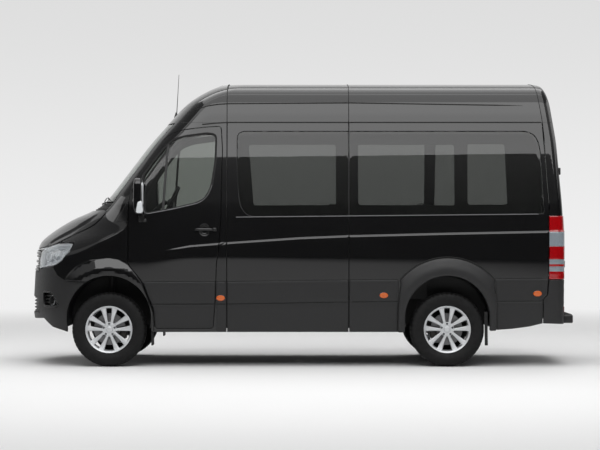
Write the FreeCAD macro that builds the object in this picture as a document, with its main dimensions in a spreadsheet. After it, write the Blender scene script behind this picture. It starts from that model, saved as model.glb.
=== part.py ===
import FreeCAD, Part
import os, re
import Sketcher

# A high-roof minibus. Nose towards -X, left side towards -Y, +Z up,
# origin on the ground at the middle of its box.

Vector = FreeCAD.Vector
doc = FreeCAD.newDocument("Minibus")
sheet = doc.addObject("Spreadsheet::Sheet", "Sizes")

# name, size in mm or degrees, what it is
sizes = [
    ("overall_length", 5310, "front of the bumper to the back of the rear step"),
    ("front_overhang", 833, "nose to front axle"),
    ("wheelbase", 3250, "front axle to rear axle"),
    ("step_reach", 103, "rear step behind the tail face"),
    ("wall", 55, "whole thickness of sides, doors and roof edge"),
    ("skin", 8, "outer panel flange and glass"),
    ("door_gap", 7, "gap round doors and hood"),
    ("seam", 4, "gap between fixed panels"),
    ("rebate", 20, "how far a door's inner part stands back from its flange"),
    ("tyre_radius", 357, "tyre"),
    ("tyre_width", 235, "tyre"),
    ("rim_radius", 228, "outside of the rim's flange"),
    ("rim_width", 190, "rim"),
    ("track_half", 850, "middle of a tyre from the middle of the bus"),
    ("kingpin_inset", 60, "steering axis inboard of the tyre's middle"),
    ("stub_radius", 30, "stub axle"),
    ("running_fit", 0.05, "clearance of hub on stub axle"),
    ("arch_half", 405, "half the wheel arch opening"),
    ("arch_spring", 470, "height where the arch begins to curve"),
    ("liner", 12, "thickness of wheel houses and mudflaps"),
    ("front_house_depth", 430, "front wheel house, across"),
    ("rear_house_depth", 330, "rear wheel house, across"),
    ("gutter_height", 2350, "foot of the roof"),
    ("gutter_half", 856, "half width at the foot of the roof"),
    ("crease_rise", 185, "roof crease above the gutter"),
    ("crease_half", 836, "half width at the roof crease"),
    ("shoulder_rise", 295, "roof shoulder above the gutter"),
    ("shoulder_half", 790, "half width at the roof shoulder"),
    ("roof_edge_rise", 362, "edge of the roof's crown above the gutter"),
    ("roof_edge_half", 640, "half width at the edge of the roof's crown"),
    ("crown_rise", 415, "top of the roof above the gutter"),
    ("header_rise", 220, "plan outline of the roof's front slope, above the gutter"),
    ("brow_rise", 371, "plan outline of the roof's brow, above the gutter"),
    ("top_rise", 450, "last plan outline, over the roof"),
    ("antenna_back", 590, "antenna behind the front axle"),
    ("floor_height", 640, "top of the floor"),
    ("floor_thickness", 40, "floor"),
    ("tail_corner", 70, "radius of the body's rear corners"),
    ("roof_thickness", 45, "roof"),
    ("body_reach", 1300, "more than half the body's width, for cutting"),
    ("flange", 28, "metal that the windscreen rests on"),
    ("glass_lap", 14, "how far side glass covers its frame"),
    ("screen_foot", 1600, "foot of the windscreen"),
    ("screen_foot_half", 825, "half width of the windscreen's foot"),
    ("screen_pillar_half", 744, "half width of the windscreen where the pillars bend"),
    ("screen_head_half", 722, "half width of the windscreen's head"),
    ("seam_back", 1132, "seam behind the cab, behind the front axle"),
    ("seam_ahead", 945, "seam behind the sliding door, ahead of the rear axle"),
    ("rear_door_half", 885, "half width of the rear doors"),
    ("rear_door_head_half", 770, "half width of the rear doors' heads"),
    ("waist", 1450, "height where the rear doors begin to narrow"),
    ("rear_door_foot", 857, "foot of the rear doors"),
    ("tail_lamp_reach", 150, "tail lamp round the side"),
    ("tail_lamp_head", 1447, "top of the tail lamps"),
    ("hood_half", 830, "half width of the hood's rear edge"),
    ("hood_bow", 190, "how far the middle of the hood's rear edge stands ahead of its corners"),
    ("flap_head", 530, "top of the mudflaps"),
    ("dash_half", 880, "half width of the dashboard"),
    ("grille_half", 560, "half width of the grille"),
    ("grille_foot", 905, "foot of the grille"),
    ("window_foot", 1553, "foot of the clear windows"),
    ("window_head", 2140, "head of the clear windows"),
    ("band_foot", 1468, "foot of the dark glass band"),
    ("band_head", 2268, "head of the dark glass band"),
    ("mirror_reach", 1190, "outside of a door mirror"),
    ("hub_face", 60, "outside of the wheel's hub from its middle"),
    ("hub_radius", 78, "hub of the wheel"),
    ("disc_radius", 150, "brake disc"),
    ("spoke_depth", 30, "spokes"),
    ("rail_half", 430, "chassis rails from the middle"),
    ("rail_foot", 440, "underside of the chassis rails"),
    ("seat_height", 1060, "top of the seat cushions"),
    ("cab_row_back", 620, "cab seats behind the front axle"),
    ("first_row_back", 1750, "first passenger row behind the front axle"),
    ("last_row_ahead", 794, "last row's cushions ahead of the tail face"),
    ("middle_row_lead", 15, "middle row ahead of halfway between its neighbours"),
]

# plan outlines of the body at rising heights, in mm: height, nose behind the bumper's front,
# shoulder behind that front,
# shoulder's half width, start of the straight side behind that front, half width, tail ahead of the tail face
levelColumns = ("height", "nose", "corner", "corner_half", "side", "half", "tail")
levels = [
    ("sill", 330, 30, 230, 740, 560, 925, 0),
    ("bumper", 535, 0, 210, 770, 560, 950, 0),
    ("belt", 1069, 30, 240, 790, 640, 992, 1),
    ("lamp", 1165, 55, 300, 780, 700, 992, 2),
    ("bonnet", 1331, 271, 620, 770, 1050, 984, 5),
    ("cowl", 1512, 615, 800, 760, 1060, 972, 14),
    ("screen", 1583, 734, 830, 760, 1100, 962, 18),
    ("pillar", 2167, 1178, 1265, 690, 1560, 888, 65),
    ("header", None, 1540, 1625, 640, 1900, 842, 130),
    ("brow", None, 1782, 1880, 610, 2120, 820, 190),
    ("top", None, 1990, 2090, 600, 2300, 810, 240),
]
for level in levels:
    for column, number in zip(levelColumns, level[1:]):
        if number is not None:
            sizes.append((level[0] + "_" + column, number, "plan outline"))

aliases = set()
for row, (alias, number, note) in enumerate(sizes, 1):
    sheet.set("A%d" % row, alias)
    sheet.set("B%d" % row, str(number))
    sheet.set("C%d" % row, note)
    sheet.setAlias("B%d" % row, alias)
    aliases.add(alias)

# places worked out from the sizes
places = [
    ("nose_x", "0 - overall_length / 2"),
    ("tail_x", "overall_length / 2 - step_reach"),
    ("front_axle_x", "front_overhang - overall_length / 2"),
    ("rear_axle_x", "front_overhang - overall_length / 2 + wheelbase"),
    ("arch_top", "arch_spring + arch_half"),
] + [
    (name + "_height", "gutter_height + " + name + "_rise")
    for name in ("crease", "shoulder", "roof_edge", "crown", "header", "brow", "top")
] + [
    ("antenna_x", "front_axle_x + antenna_back"),
    # where the roof's front slope passes under the antenna
    ("antenna_height", "pillar_height + (front_overhang + antenna_back - pillar_nose)"
                       " / (header_nose - pillar_nose) * (header_height - pillar_height)"),
]
for row, (alias, text) in enumerate(places, len(sizes) + 1):
    sheet.set("A%d" % row, alias)
    sheet.set("B%d" % row, "=" + text)
    sheet.setAlias("B%d" % row, alias)
    aliases.add(alias)
doc.recompute()


def expression(text):
    # puts the sheet's name before each size in a formula
    return re.sub(r"[A-Za-z_]\w*", lambda m: "Sizes." + m.group() if m.group() in aliases else m.group(),
                  str(text))


def amount(text):
    number = sheet.evalExpression(expression(text))
    return float(getattr(number, "Value", number))


def bind(thing, **texts):
    for name, text in texts.items():
        thing.setExpression(name.replace("__", "."), expression(text))
    return thing


def draw(sketch, corners):
    # closed outline: two texts are a straight run to that point,
    # four are an arc through the first pair to the second
    spots = [Vector(amount(corner[-2]), amount(corner[-1]), 0) for corner in corners]
    rules = []
    texts = []
    tips = []
    middles = []
    for index, corner in enumerate(corners):
        start, end = spots[index - 1], spots[index]
        if len(corner) == 2:
            sketch.addGeometry(Part.LineSegment(start, end), False)
            tips.append((1, 2))
        else:
            middle = Vector(amount(corner[0]), amount(corner[1]), 0)
            # a sketch holds every arc anticlockwise
            forward = (middle - start).cross(end - middle).z > 0
            sketch.addGeometry(Part.Arc(start, middle, end) if forward else Part.Arc(end, middle, start),
                               False)
            tips.append((1, 2) if forward else (2, 1))
            middles.append((index, middle, corner))
    for index, corner in enumerate(corners):
        after = (index + 1) % len(corners)
        rules.append(Sketcher.Constraint("Coincident", index, tips[index][1], after, tips[after][0]))
        texts.append(None)
        for kind, value, text in (("DistanceX", spots[index].x, corner[-2]),
                                  ("DistanceY", spots[index].y, corner[-1])):
            rules.append(Sketcher.Constraint(kind, -1, 1, index, tips[index][1], value))
            texts.append(text)
    for index, middle, corner in middles:
        point = sketch.addGeometry(Part.Point(middle), True)
        rules.append(Sketcher.Constraint("PointOnObject", point, 1, index))
        texts.append(None)
        for kind, value, text in (("DistanceX", middle.x, corner[0]), ("DistanceY", middle.y, corner[1])):
            rules.append(Sketcher.Constraint(kind, -1, 1, point, 1, value))
            texts.append(text)
    sketch.addConstraint(rules)
    for place, text in enumerate(texts):
        if text is not None:
            sketch.setExpression("Constraints[%d]" % place, expression(text))
    return sketch


turns = {
    "XY": FreeCAD.Rotation(),
    "XZ": FreeCAD.Rotation(Vector(1, 0, 0), 90),
    "YZ": FreeCAD.Rotation(Vector(1, 1, 1), 120),
}
normals = {"XY": "z", "XZ": "y", "YZ": "x"}
along = {"XY": Vector(0, 0, 1), "XZ": Vector(0, 1, 0), "YZ": Vector(1, 0, 0)}


def outline(name, plane, corners, at="0"):
    sketch = doc.addObject("Sketcher::SketchObject", name)
    sketch.Placement = FreeCAD.Placement(Vector(), turns[plane])
    draw(sketch, corners)
    bind(sketch, **{"Placement__Base__" + normals[plane]: at})
    return sketch


def extrude(name, plane, base, low, high):
    # fills the outline from low to high along +X, +Z or, for a side view, from y = low to y = high
    solid = doc.addObject("Part::Extrusion", name)
    solid.Base = base
    solid.DirMode = "Custom"
    solid.Dir = along[plane]
    solid.Solid = True
    return bind(solid, LengthFwd=high, LengthRev="0 - (%s)" % low)


def prism(name, plane, corners, low, high, grow=None):
    # an outline, made larger by grow if given, filled from low to high
    base = outline(name + "Outline", plane, corners)
    if grow:
        wider = doc.addObject("Part::Offset2D", name + "Grown")
        wider.Source = base
        wider.Join = "Intersection"
        bind(wider, Value=grow)
        base = wider
    return extrude(name, plane, base, low, high)


def combine(kind, name, shapes):
    whole = doc.addObject(kind, name)
    whole.Shapes = shapes
    return whole


def common(name, *shapes):
    return combine("Part::MultiCommon", name, list(shapes))


def fuse(name, *shapes):
    return combine("Part::MultiFuse", name, list(shapes))


def takeAway(name, base, *tools):
    result = doc.addObject("Part::Cut", name)
    result.Base = base
    if len(tools) == 1:
        result.Tool = tools[0]
    else:
        group = doc.addObject("Part::MultiFuse", name + "Tools")
        group.Shapes = list(tools)
        result.Tool = group
    return result


def block(name, low, high):
    # a box between two corners
    solid = doc.addObject("Part::Box", name)
    for size, axis, a, b in zip(("Length", "Width", "Height"), "xyz", low, high):
        bind(solid, **{size: "(%s) - (%s)" % (b, a), "Placement__Base__" + axis: a})
    return solid


def rod(name, axis, start, radius, length):
    # a cylinder along an axis
    solid = doc.addObject("Part::Cylinder", name)
    spin = {"x": FreeCAD.Rotation(Vector(0, 1, 0), 90), "y": FreeCAD.Rotation(Vector(1, 0, 0), -90)}
    solid.Placement = FreeCAD.Placement(Vector(), spin.get(axis, FreeCAD.Rotation()))
    x, y, z = start
    return bind(solid, Radius=radius, Height=length, Placement__Base__x=x, Placement__Base__y=y,
                Placement__Base__z=z)


def mirrored(name, source):
    # the same piece on the right side
    other = doc.addObject("Part::Mirroring", name)
    other.Source = source
    other.Normal = Vector(0, 1, 0)
    return other


def near(datum, table):
    # outline points given in mm behind a named place, and above the ground
    return [tuple(t for pair in zip(*[iter(row)] * 2) for t in ("%s + %s" % (datum, pair[0]), str(pair[1])))
            for row in table]


nodes = []


def keep(label, thing):
    thing.Label = label
    nodes.append((label, thing))
    return thing


# body solids

def made(name, shape):
    # a solid shaped by the sizes directly, for the forms that sketches can't hold
    feature = doc.addObject("Part::Feature", name)
    feature.Shape = shape
    return feature


def closedWire(points, plane):
    # two numbers are a straight run to that point, four are an arc through the first pair to the second
    spots = [plane(*point[-2:]) for point in points]
    edges = []
    for index, point in enumerate(points):
        if len(point) == 2:
            edges.append(Part.LineSegment(spots[index - 1], spots[index]).toShape())
        else:
            edges.append(Part.Arc(spots[index - 1], plane(*point[:2]), spots[index]).toShape())
    return Part.Wire(edges)


def bodyLoft(name, inset, drop):
    # the body's outside drawn in by inset, as a loft through the plan outlines
    noseX, tailX, radius = amount("nose_x"), amount("tail_x"), amount("tail_corner")
    wires = []
    for level in levels:
        height, nose, corner, cornerHalf, side, half, tail = [amount(level[0] + "_" + column) for column in levelColumns]
        height -= drop if level is levels[0] else 0
        nose, corner, side = noseX + nose + inset, noseX + corner + inset, noseX + side
        half, cornerHalf, tail = half - inset, cornerHalf - inset, tailX - tail - inset
        middle = ((corner + side) / 2, half - (half - cornerHalf) / 4)
        bend = radius * (1 - 0.5 ** 0.5)
        wires.append(closedWire([
            (side, -half),
            (middle[0], -middle[1], corner, -cornerHalf),
            (nose, 0, corner, cornerHalf),
            (middle[0], middle[1], side, half),
            (tail - radius, half),
            (tail - bend, half - bend, tail, half - radius),
            (tail, radius - half),
            (tail - bend, bend - half, tail - radius, -half),
        ], lambda x, y: Vector(x, y, height)))
    return made(name, Part.makeLoft(wires, True, True))


def roofSection(name, inset):
    # the roof's cross-section over the gutters, drawn in by inset, wide open below them
    def at(part):
        return amount(part + "_half") - inset, amount(part + "_height") - inset
    reach = amount("body_reach")
    gutter, crease, shoulder, edge = [at(part) for part in ("gutter", "crease", "shoulder", "roof_edge")]
    # the shoulder bends from crease to edge, and the crown from edge to edge
    wire = closedWire([
        (-reach, 0), (reach, 0), (reach, gutter[1]), gutter, crease, shoulder + edge,
        (0, amount("crown_height") - inset, -edge[0], edge[1]),
        (-shoulder[0], shoulder[1], -crease[0], crease[1]),
        (-gutter[0], gutter[1]), (-reach, gutter[1]),
    ], lambda y, z: Vector(amount("nose_x") - 10, y, z))
    return made(name, Part.Face(wire).extrude(Vector(amount("overall_length") + 20, 0, 0)))


outer = common("Outer", bodyLoft("OuterLoft", 0, 0), roofSection("OuterRoof", 0))
inner = common("Inner", bodyLoft("InnerLoft", amount("wall"), 5),
               roofSection("InnerRoof", amount("roof_thickness")))
under = bodyLoft("UnderSkin", amount("skin"), 5)
shell = takeAway("Shell", outer, inner)
pane = takeAway("Pane", outer, under)

# outlines

far = "body_reach"
across = ("0 - " + far, far)
leftHalf = ("0 - " + far, "0 - 1")
rightHalf = ("1", far)

# behind the front axle, above the ground
doorTable = [
    (188, 981), (188, 1520), (200, 1640), (256, 1813), (388, 2007), (515, 2181), (587, 2239), (708, 2277),
    (906, 2301), (1074, 2313), (1088, 2093), (1074, 1409), (1057, 1164), (1032, 993), (1021, 627),
    (1000, 368),
    (440, 368), (428, 552), (378, 676), (323, 815),
]
doorWindowTable = [
    (311, 1828), (420, 1989), (532, 2125), (588, 2181), (707, 2220), (947, 2253), (1027, 2237), (1035, 2173),
    (1028, 1972), (991, 1733), (943, 1630), (871, 1573), (633, 1517), (338, 1462),
]
hoodTable = [
    (-930, 1108), (-618, 1158), (-366, 1265), (-159, 1364), (-40, 1493), (-40, 1700), (-930, 1700),
]
lampTable = [
    (-930, 938), (-930, 1100), (-675, 1112), (-524, 1160), (-350, 1180), (-385, 1108), (-463, 1018),
    (-518, 982),
    (-584, 967), (-699, 938),
]
doorPoints = near("front_axle_x", doorTable)
windowPoints = near("front_axle_x", doorWindowTable)
hoodPoints = near("front_axle_x", hoodTable)
lampPoints = near("front_axle_x", lampTable)


def rectangle(left, low, right, high):
    return [(left, low), (right, low), (right, high), (left, high)]


def arch(name, axle, low, high, grow=None):
    left = axle + " - arch_half"
    right = axle + " + arch_half"
    points = [(left, "100"), (left, "arch_spring"), (axle, "arch_top", right, "arch_spring"), (right, "100")]
    return prism(name, "XZ", points, low, high, grow)


arches = fuse("Arches", arch("FrontArch", "front_axle_x", *across), arch("RearArch", "rear_axle_x", *across))
screenPoints = [
    ("0 - screen_foot_half", "screen_foot"), ("screen_foot_half", "screen_foot"),
    ("screen_pillar_half", "pillar_height"), ("screen_head_half", "gutter_height - 12"),
    ("0 - screen_head_half", "gutter_height - 12"), ("0 - screen_pillar_half", "pillar_height"),
]
ahead = ("nose_x - 10", "front_axle_x + 800")
screenRegion = prism("ScreenRegion", "YZ", screenPoints, *ahead)
screenHole = prism("ScreenHole", "YZ", screenPoints, *ahead, grow="0 - flange")
doorHoles = prism("DoorHoles", "XZ", doorPoints, *across, grow="door_gap")


def hoodPlan(grow):
    # from above: the hood's rear edge bows forward between its corners
    rear = "front_axle_x - 40 + " + grow
    half = "(hood_half + %s)" % grow
    return [("nose_x - 20", "0 - " + half), (rear, "0 - " + half), (rear + " - hood_bow", "0", rear, half),
            ("nose_x - 20", half)]


above = ("1000", "1750")
hoodZone = common("HoodZone", prism("HoodSide", "XZ", hoodPoints, *across),
                  prism("HoodTop", "XY", hoodPlan("0"), *above))
hoodHole = common("HoodHole", prism("HoodHoleSide", "XZ", hoodPoints, *across, grow="door_gap"),
                  prism("HoodHoleTop", "XY", hoodPlan("door_gap"), *above))
seamB = "front_axle_x + seam_back"
seamC = "rear_axle_x - seam_ahead"
rearDoorPoints = [
    ("0 - rear_door_half", "rear_door_foot"), ("rear_door_half", "rear_door_foot"),
    ("rear_door_half", "waist"),
    ("rear_door_head_half", "gutter_height - door_gap"),
    ("0 - rear_door_head_half", "gutter_height - door_gap"),
    ("0 - rear_door_half", "waist"),
]
behind = ("tail_x - 250", "tail_x + 10")
rearDoorHole = prism("RearDoorHole", "YZ", rearDoorPoints, *behind, grow="door_gap")
lampZone = prism("LampZone", "XZ", lampPoints, *across)
lampSides = fuse("LampSides", block("LampLeft", ("nose_x - 10", "0 - " + far, "800"),
                                    ("front_axle_x", "0 - grille_half - seam", "1300")),
                 block("LampRight", ("nose_x - 10", "grille_half + seam", "800"),
                       ("front_axle_x", far, "1300")))
headlampZone = common("HeadlampZone", lampZone, lampSides)
grilleZone = block("GrilleZone", ("nose_x - 10", "0 - grille_half", "grille_foot"),
                   ("front_axle_x - 300", "grille_half", "1104"))
grilleHole = block("GrilleHole", ("nose_x - 10", "0 - grille_half - seam", "grille_foot - seam"),
                   ("front_axle_x - 300", "grille_half + seam", "1300"))

# static panels

fenderTable = [
    (-930, 909), (-600, 909), (-405, 854), (-405, 300), (444, 300), (444, 700), (330, 1000), (200, 1515),
    (-36, 1489), (-159, 1360),
    (-366, 1261), (-618, 1154), (-930, 1104),
]
fenders = takeAway("Fenders", common("FenderStock", shell, prism("FenderZone", "XZ",
                                                                 near("front_axle_x", fenderTable), *across)),
                   arches, doorHoles, hoodHole, headlampZone, grilleHole)
keep("fenders", fenders)

bumperTable = [(-930, 300), (-930, 905), (-600, 905), (-409, 850), (-409, 300)]
bumper = takeAway("Bumper", common("BumperStock", shell, prism("BumperZone", "XZ",
                                                               near("front_axle_x", bumperTable), *across)),
                  arches, grilleHole)
keep("front_bumper", bumper)

keep("headlamps", common("Headlamps", shell, headlampZone))
grilleBars = fuse("GrilleBars", *[
    block("GrilleBar%d" % n, ("nose_x - 10", "0 - grille_half", "grille_foot + %d" % (n * 45)),
          ("front_axle_x - 300", "grille_half", "grille_foot + %d + 22" % (n * 45))) for n in range(4)])
keep("grille", common("Grille", shell, fuse("GrilleShape", grilleBars, block("GrillePost",
     ("nose_x - 10", "0 - grille_half", "grille_foot"), ("front_axle_x - 300", "30 - grille_half", "1104")),
     block("GrillePostRight", ("nose_x - 10", "grille_half - 30", "grille_foot"),
           ("front_axle_x - 300", "grille_half", "1104")),
     block("GrilleMiddle", ("nose_x - 10", "-15", "grille_foot"), ("front_axle_x - 300", "15", "1104")))))

hood = common("Hood", shell, hoodZone)
keep("hood", hood)

cabTable = [
    (-36, 1494), (-159, 1365), (-280, 1307), (-330, 1400), (-330, "gutter_height - 4"),
    (1130, "gutter_height - 4"), (1130, 300), (448, 300), (448, 700),
    (334, 1000), (204, 1520),
]
screenRebate = common("ScreenRebate", pane, prism("ScreenSeat", "YZ", screenPoints, *ahead, grow="seam"))
cabFrame = takeAway("CabFrame",
                    common("CabStock", shell, prism("CabZone", "XZ", near("front_axle_x", cabTable),
                                                    *across)),
                    doorHoles, hoodHole, screenHole, screenRebate)
keep("cab_frame", cabFrame)
keep("windscreen", common("Windscreen", pane, screenRegion))

roof = common("Roof", shell, block("RoofZone", ("nose_x", "0 - " + far, "gutter_height"),
                                   ("tail_x + 10", far, "crown_height + 10")))
keep("roof", roof)

# side windows behind the cab: left end, right end from the named place
windowRows = [
    ("front_axle_x", 1342, 2181), ("rear_axle_x", -858, 71), ("rear_axle_x", 186, 580),
]
windowHoles = fuse("WindowHoles", *[
    prism("WindowHole%d" % n, "XZ",
          rectangle("%s + %d" % (datum, left), "window_foot", "%s + %d" % (datum, right),
          "window_head"), *across) for n, (datum, left, right) in enumerate(windowRows)])
bandTable = [("front_axle_x + 1229", "band_foot + 60"), ("front_axle_x + 1229", "band_head"),
             ("tail_x - 215", "band_head"),
             ("tail_x - 205", "band_foot"), ("front_axle_x + 1400", "band_foot")]
bandSplit = block("BandSplit", (seamC + " - seam", "0 - " + far, "300"),
                  (seamC + " + seam", far, "gutter_height"))
band = takeAway("Band", common("BandStock", pane, prism("BandZone", "XZ", bandTable, *across)), bandSplit)
keep("side_glass", band)
bandSeat = common("BandSeat", pane, prism("BandSeatZone", "XZ", bandTable, *across))

tailLampZone = fuse("TailLampZone", *[
    block("TailLampZone" + side, ("tail_x - tail_lamp_reach", low, "rear_door_foot - 10"),
          ("tail_x + 10", high, "tail_lamp_head"))
    for side, low, high in (("Left", "0 - " + far, "0 - rear_door_half - door_gap - 4"),
                            ("Right", "rear_door_half + door_gap + 4", far))])
keep("tail_lamps", common("TailLamps", shell, tailLampZone))
rearBumperZone = prism("RearBumperZone", "XZ", [
    ("tail_x - 200", "300"), ("tail_x - 200", "632"), ("tail_x - 152", "690"),
    ("tail_x - 152", "rear_door_foot - 14"),
    ("tail_x + 10", "rear_door_foot - 14"), ("tail_x + 10", "300")], *across)
rearStep = takeAway("RearStep",
                    block("StepBlock", ("tail_x - 20", "-800", "412"),
                          ("tail_x + step_reach", "800", "498")), inner)
keep("rear_bumper", fuse("RearBumper", common("RearBumperShell", shell, rearBumperZone), rearStep))

slideTable = rectangle(seamB + " + door_gap", "368", seamC + " - door_gap", "gutter_height - 25")
slideHole = prism("SlideHole", "XZ", slideTable, *rightHalf, grow="door_gap")
sideStock = common("SideStock", shell,
                   block("SideZone", (seamB, "0 - " + far, "300"),
                         ("tail_x + 10", far, "gutter_height - seam")))
bumperHole = prism("BumperHole", "XZ", [
    ("tail_x - 204", "290"), ("tail_x - 204", "634"), ("tail_x - 156", "692"),
    ("tail_x - 156", "rear_door_foot - 5"),
    ("tail_x + 10", "rear_door_foot - 5"), ("tail_x + 10", "290")], *across)
sidePanels = takeAway("SidePanels", sideStock, arches, rearDoorHole, bumperHole, tailLampZone, windowHoles,
                      bandSeat, slideHole)
keep("side_panels", sidePanels)
slidingDoor = takeAway("SlidingDoor",
                       common("SlideStock", shell, prism("SlideZone", "XZ", slideTable, *rightHalf)),
                       windowHoles, bandSeat)
keep("sliding_door", slidingDoor)

# doors

doorZone = prism("DoorZone", "XZ", doorPoints, *leftHalf)
doorCore = prism("DoorCore", "XZ", doorPoints, *leftHalf, grow="0 - rebate")
doorEdge = common("DoorEdge", under, takeAway("DoorRim", doorZone, doorCore))
windowHole = prism("DoorWindowHole", "XZ", windowPoints, *leftHalf)
windowSeat = common("DoorWindowSeat", pane,
                    prism("DoorWindowSeatZone", "XZ", windowPoints, *leftHalf, grow="glass_lap"))
leftDoor = takeAway("LeftDoor", common("DoorStock", shell, doorZone), doorEdge, windowHole, windowSeat)
keep("door_left", leftDoor)
keep("door_right", mirrored("RightDoor", leftDoor))
leftGlass = windowSeat
keep("door_glass_left", leftGlass)
keep("door_glass_right", mirrored("RightGlass", leftGlass))

rearLeftPoints = [
    ("0 - rear_door_half", "rear_door_foot"), ("0 - door_gap / 2", "rear_door_foot"),
    ("0 - door_gap / 2", "gutter_height - door_gap"), ("0 - rear_door_head_half", "gutter_height - door_gap"),
    ("0 - rear_door_half", "waist"),
]
rearLeft = prism("RearDoorZone", "YZ", rearLeftPoints, *behind)
rearCore = prism("RearDoorCore", "YZ", rearLeftPoints, *behind, grow="0 - rebate")
rearEdge = common("RearDoorEdge", under, takeAway("RearDoorRim", rearLeft, rearCore))
rearWindow = rectangle("0 - 700", "1520", "0 - 110", "2170")
rearHoleTool = prism("RearWindowHole", "YZ", rearWindow, "tail_x - 250", "tail_x + 10")
rearSeat = common("RearWindowSeat", pane,
                  prism("RearWindowSeatZone", "YZ", rearWindow, "tail_x - 250", "tail_x + 10",
                        grow="glass_lap"))
rearDoor = takeAway("RearDoorLeft", common("RearDoorStock", shell, rearLeft), rearEdge, rearHoleTool,
                    rearSeat)
keep("rear_door_left", rearDoor)
keep("rear_door_right", mirrored("RearDoorRight", rearDoor))
keep("rear_glass_left", rearSeat)
keep("rear_glass_right", mirrored("RearGlassRight", rearSeat))

mirrorHead = block("MirrorHead", ("front_axle_x + 255", "0 - mirror_reach", "1470"),
                   ("front_axle_x + 337", "0 - 1020", "1808"))
mirrorFoot = block("MirrorFoot", ("front_axle_x + 290", "0 - 1060", "1420"),
                   ("front_axle_x + 370", "-900", "1490"))
mirror = takeAway("MirrorLeft", fuse("MirrorShape", mirrorHead, mirrorFoot), outer)
keep("mirror_left", mirror)
keep("mirror_right", mirrored("MirrorRight", mirror))

# wheels

for end, axle in (("front", "front_axle_x"), ("rear", "rear_axle_x")):
    for side, sign in (("left", "0 - "), ("right", "")):
        name = end.title() + side.title()
        body = doc.addObject("PartDesign::Body", name + "TyreBody")
        plane = [f for f in body.Origin.OriginFeatures if f.Role == "XY_Plane"][0]
        profile = body.newObject("Sketcher::SketchObject", name + "TyreProfile")
        profile.AttachmentSupport = (plane, [""])
        profile.MapMode = "FlatFace"
        draw(profile, [
            ("rim_radius + 2", "0 - rim_width / 2 + 8"),
            ("tyre_radius - 60", "0 - tyre_width / 2", "tyre_radius - 25", "0 - tyre_width / 2 + 12"),
            ("tyre_radius", "0 - tyre_width / 2 + 40"),
            ("tyre_radius", "tyre_width / 2 - 40"),
            ("tyre_radius - 25", "tyre_width / 2 - 12"),
            ("tyre_radius - 60", "tyre_width / 2", "rim_radius + 2", "rim_width / 2 - 8"),
        ])
        turn = body.newObject("PartDesign::Revolution", name + "TyreTurn")
        turn.Profile = profile
        turn.ReferenceAxis = (profile, ["V_Axis"])
        turn.Angle = 360
        bind(body, Placement__Base__x=axle, Placement__Base__y=sign + "track_half",
             Placement__Base__z="tyre_radius")
        keep("tyre_%s_%s" % (end, side), body)

        rim = doc.addObject("PartDesign::Body", name + "RimBody")
        plane = [f for f in rim.Origin.OriginFeatures if f.Role == "XY_Plane"][0]
        profile = rim.newObject("Sketcher::SketchObject", name + "RimProfile")
        profile.AttachmentSupport = (plane, [""])
        profile.MapMode = "FlatFace"
        draw(profile, [
            ("rim_radius", "0 - rim_width / 2"), ("rim_radius", "0 - rim_width / 2 + 8"),
            ("rim_radius - 15", "0 - rim_width / 2 + 14"), ("rim_radius - 15", "rim_width / 2 - 14"),
            ("rim_radius", "rim_width / 2 - 8"), ("rim_radius", "rim_width / 2"),
            ("rim_radius - 20", "rim_width / 2"), ("rim_radius - 27", "0 - rim_width / 2"),
        ])
        turn = rim.newObject("PartDesign::Revolution", name + "RimTurn")
        turn.Profile = profile
        turn.ReferenceAxis = (profile, ["V_Axis"])
        turn.Angle = 360
        hub = rim.newObject("Sketcher::SketchObject", name + "HubProfile")
        hub.AttachmentSupport = (plane, [""])
        hub.MapMode = "FlatFace"
        draw(hub, [
            ("stub_radius + running_fit", "0 - hub_face"), ("hub_radius", "0 - hub_face"),
            ("hub_radius", "10"),
            ("disc_radius", "10"), ("disc_radius", "34"), ("hub_radius", "34"), ("hub_radius", "50"),
            ("stub_radius + running_fit", "50"),
        ])
        hubTurn = rim.newObject("PartDesign::Revolution", name + "HubTurn")
        hubTurn.Profile = hub
        hubTurn.ReferenceAxis = (hub, ["V_Axis"])
        hubTurn.Angle = 360
        face = [f for f in rim.Origin.OriginFeatures if f.Role == "XZ_Plane"][0]
        spoke = rim.newObject("Sketcher::SketchObject", name + "SpokeOutline")
        spoke.AttachmentSupport = (face, [""])
        spoke.MapMode = "FlatFace"
        draw(spoke, [("12", "hub_radius - 10"), ("30", "hub_radius - 10"), ("62", "rim_radius - 22"),
                     ("40", "rim_radius - 22")])
        pad = rim.newObject("PartDesign::Pad", name + "SpokePad")
        pad.Profile = spoke
        bind(spoke, AttachmentOffset__Base__z="hub_face - spoke_depth")
        bind(pad, Length="spoke_depth")
        axis = [f for f in rim.Origin.OriginFeatures if f.Role == "Y_Axis"][0]
        flip = rim.newObject("PartDesign::Mirrored", name + "SpokePair")
        flip.Originals = [pad]
        flip.MirrorPlane = ([f for f in rim.Origin.OriginFeatures if f.Role == "YZ_Plane"][0], [""])
        ring = rim.newObject("PartDesign::PolarPattern", name + "SpokeRing")
        multi = rim.newObject("PartDesign::MultiTransform", name + "Spokes")
        # both patterns are steps of the multi-transform, not features of their own
        rim.removeObject(ring)
        rim.removeObject(flip)
        multi.Originals = [pad]
        multi.Transformations = [flip, ring]
        ring.Axis = (axis, [""])
        ring.Angle = 360
        ring.Occurrences = 5
        rim.Tip = multi
        bind(rim, Placement__Base__x=axle, Placement__Base__y=sign + "track_half",
             Placement__Base__z="tyre_radius")
        if side == "right":
            rim.Placement.Rotation = FreeCAD.Rotation(Vector(0, 0, 1), 180)
            body.Placement.Rotation = FreeCAD.Rotation(Vector(0, 0, 1), 180)
        keep("rim_%s_%s" % (end, side), rim)

# running gear

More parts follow.
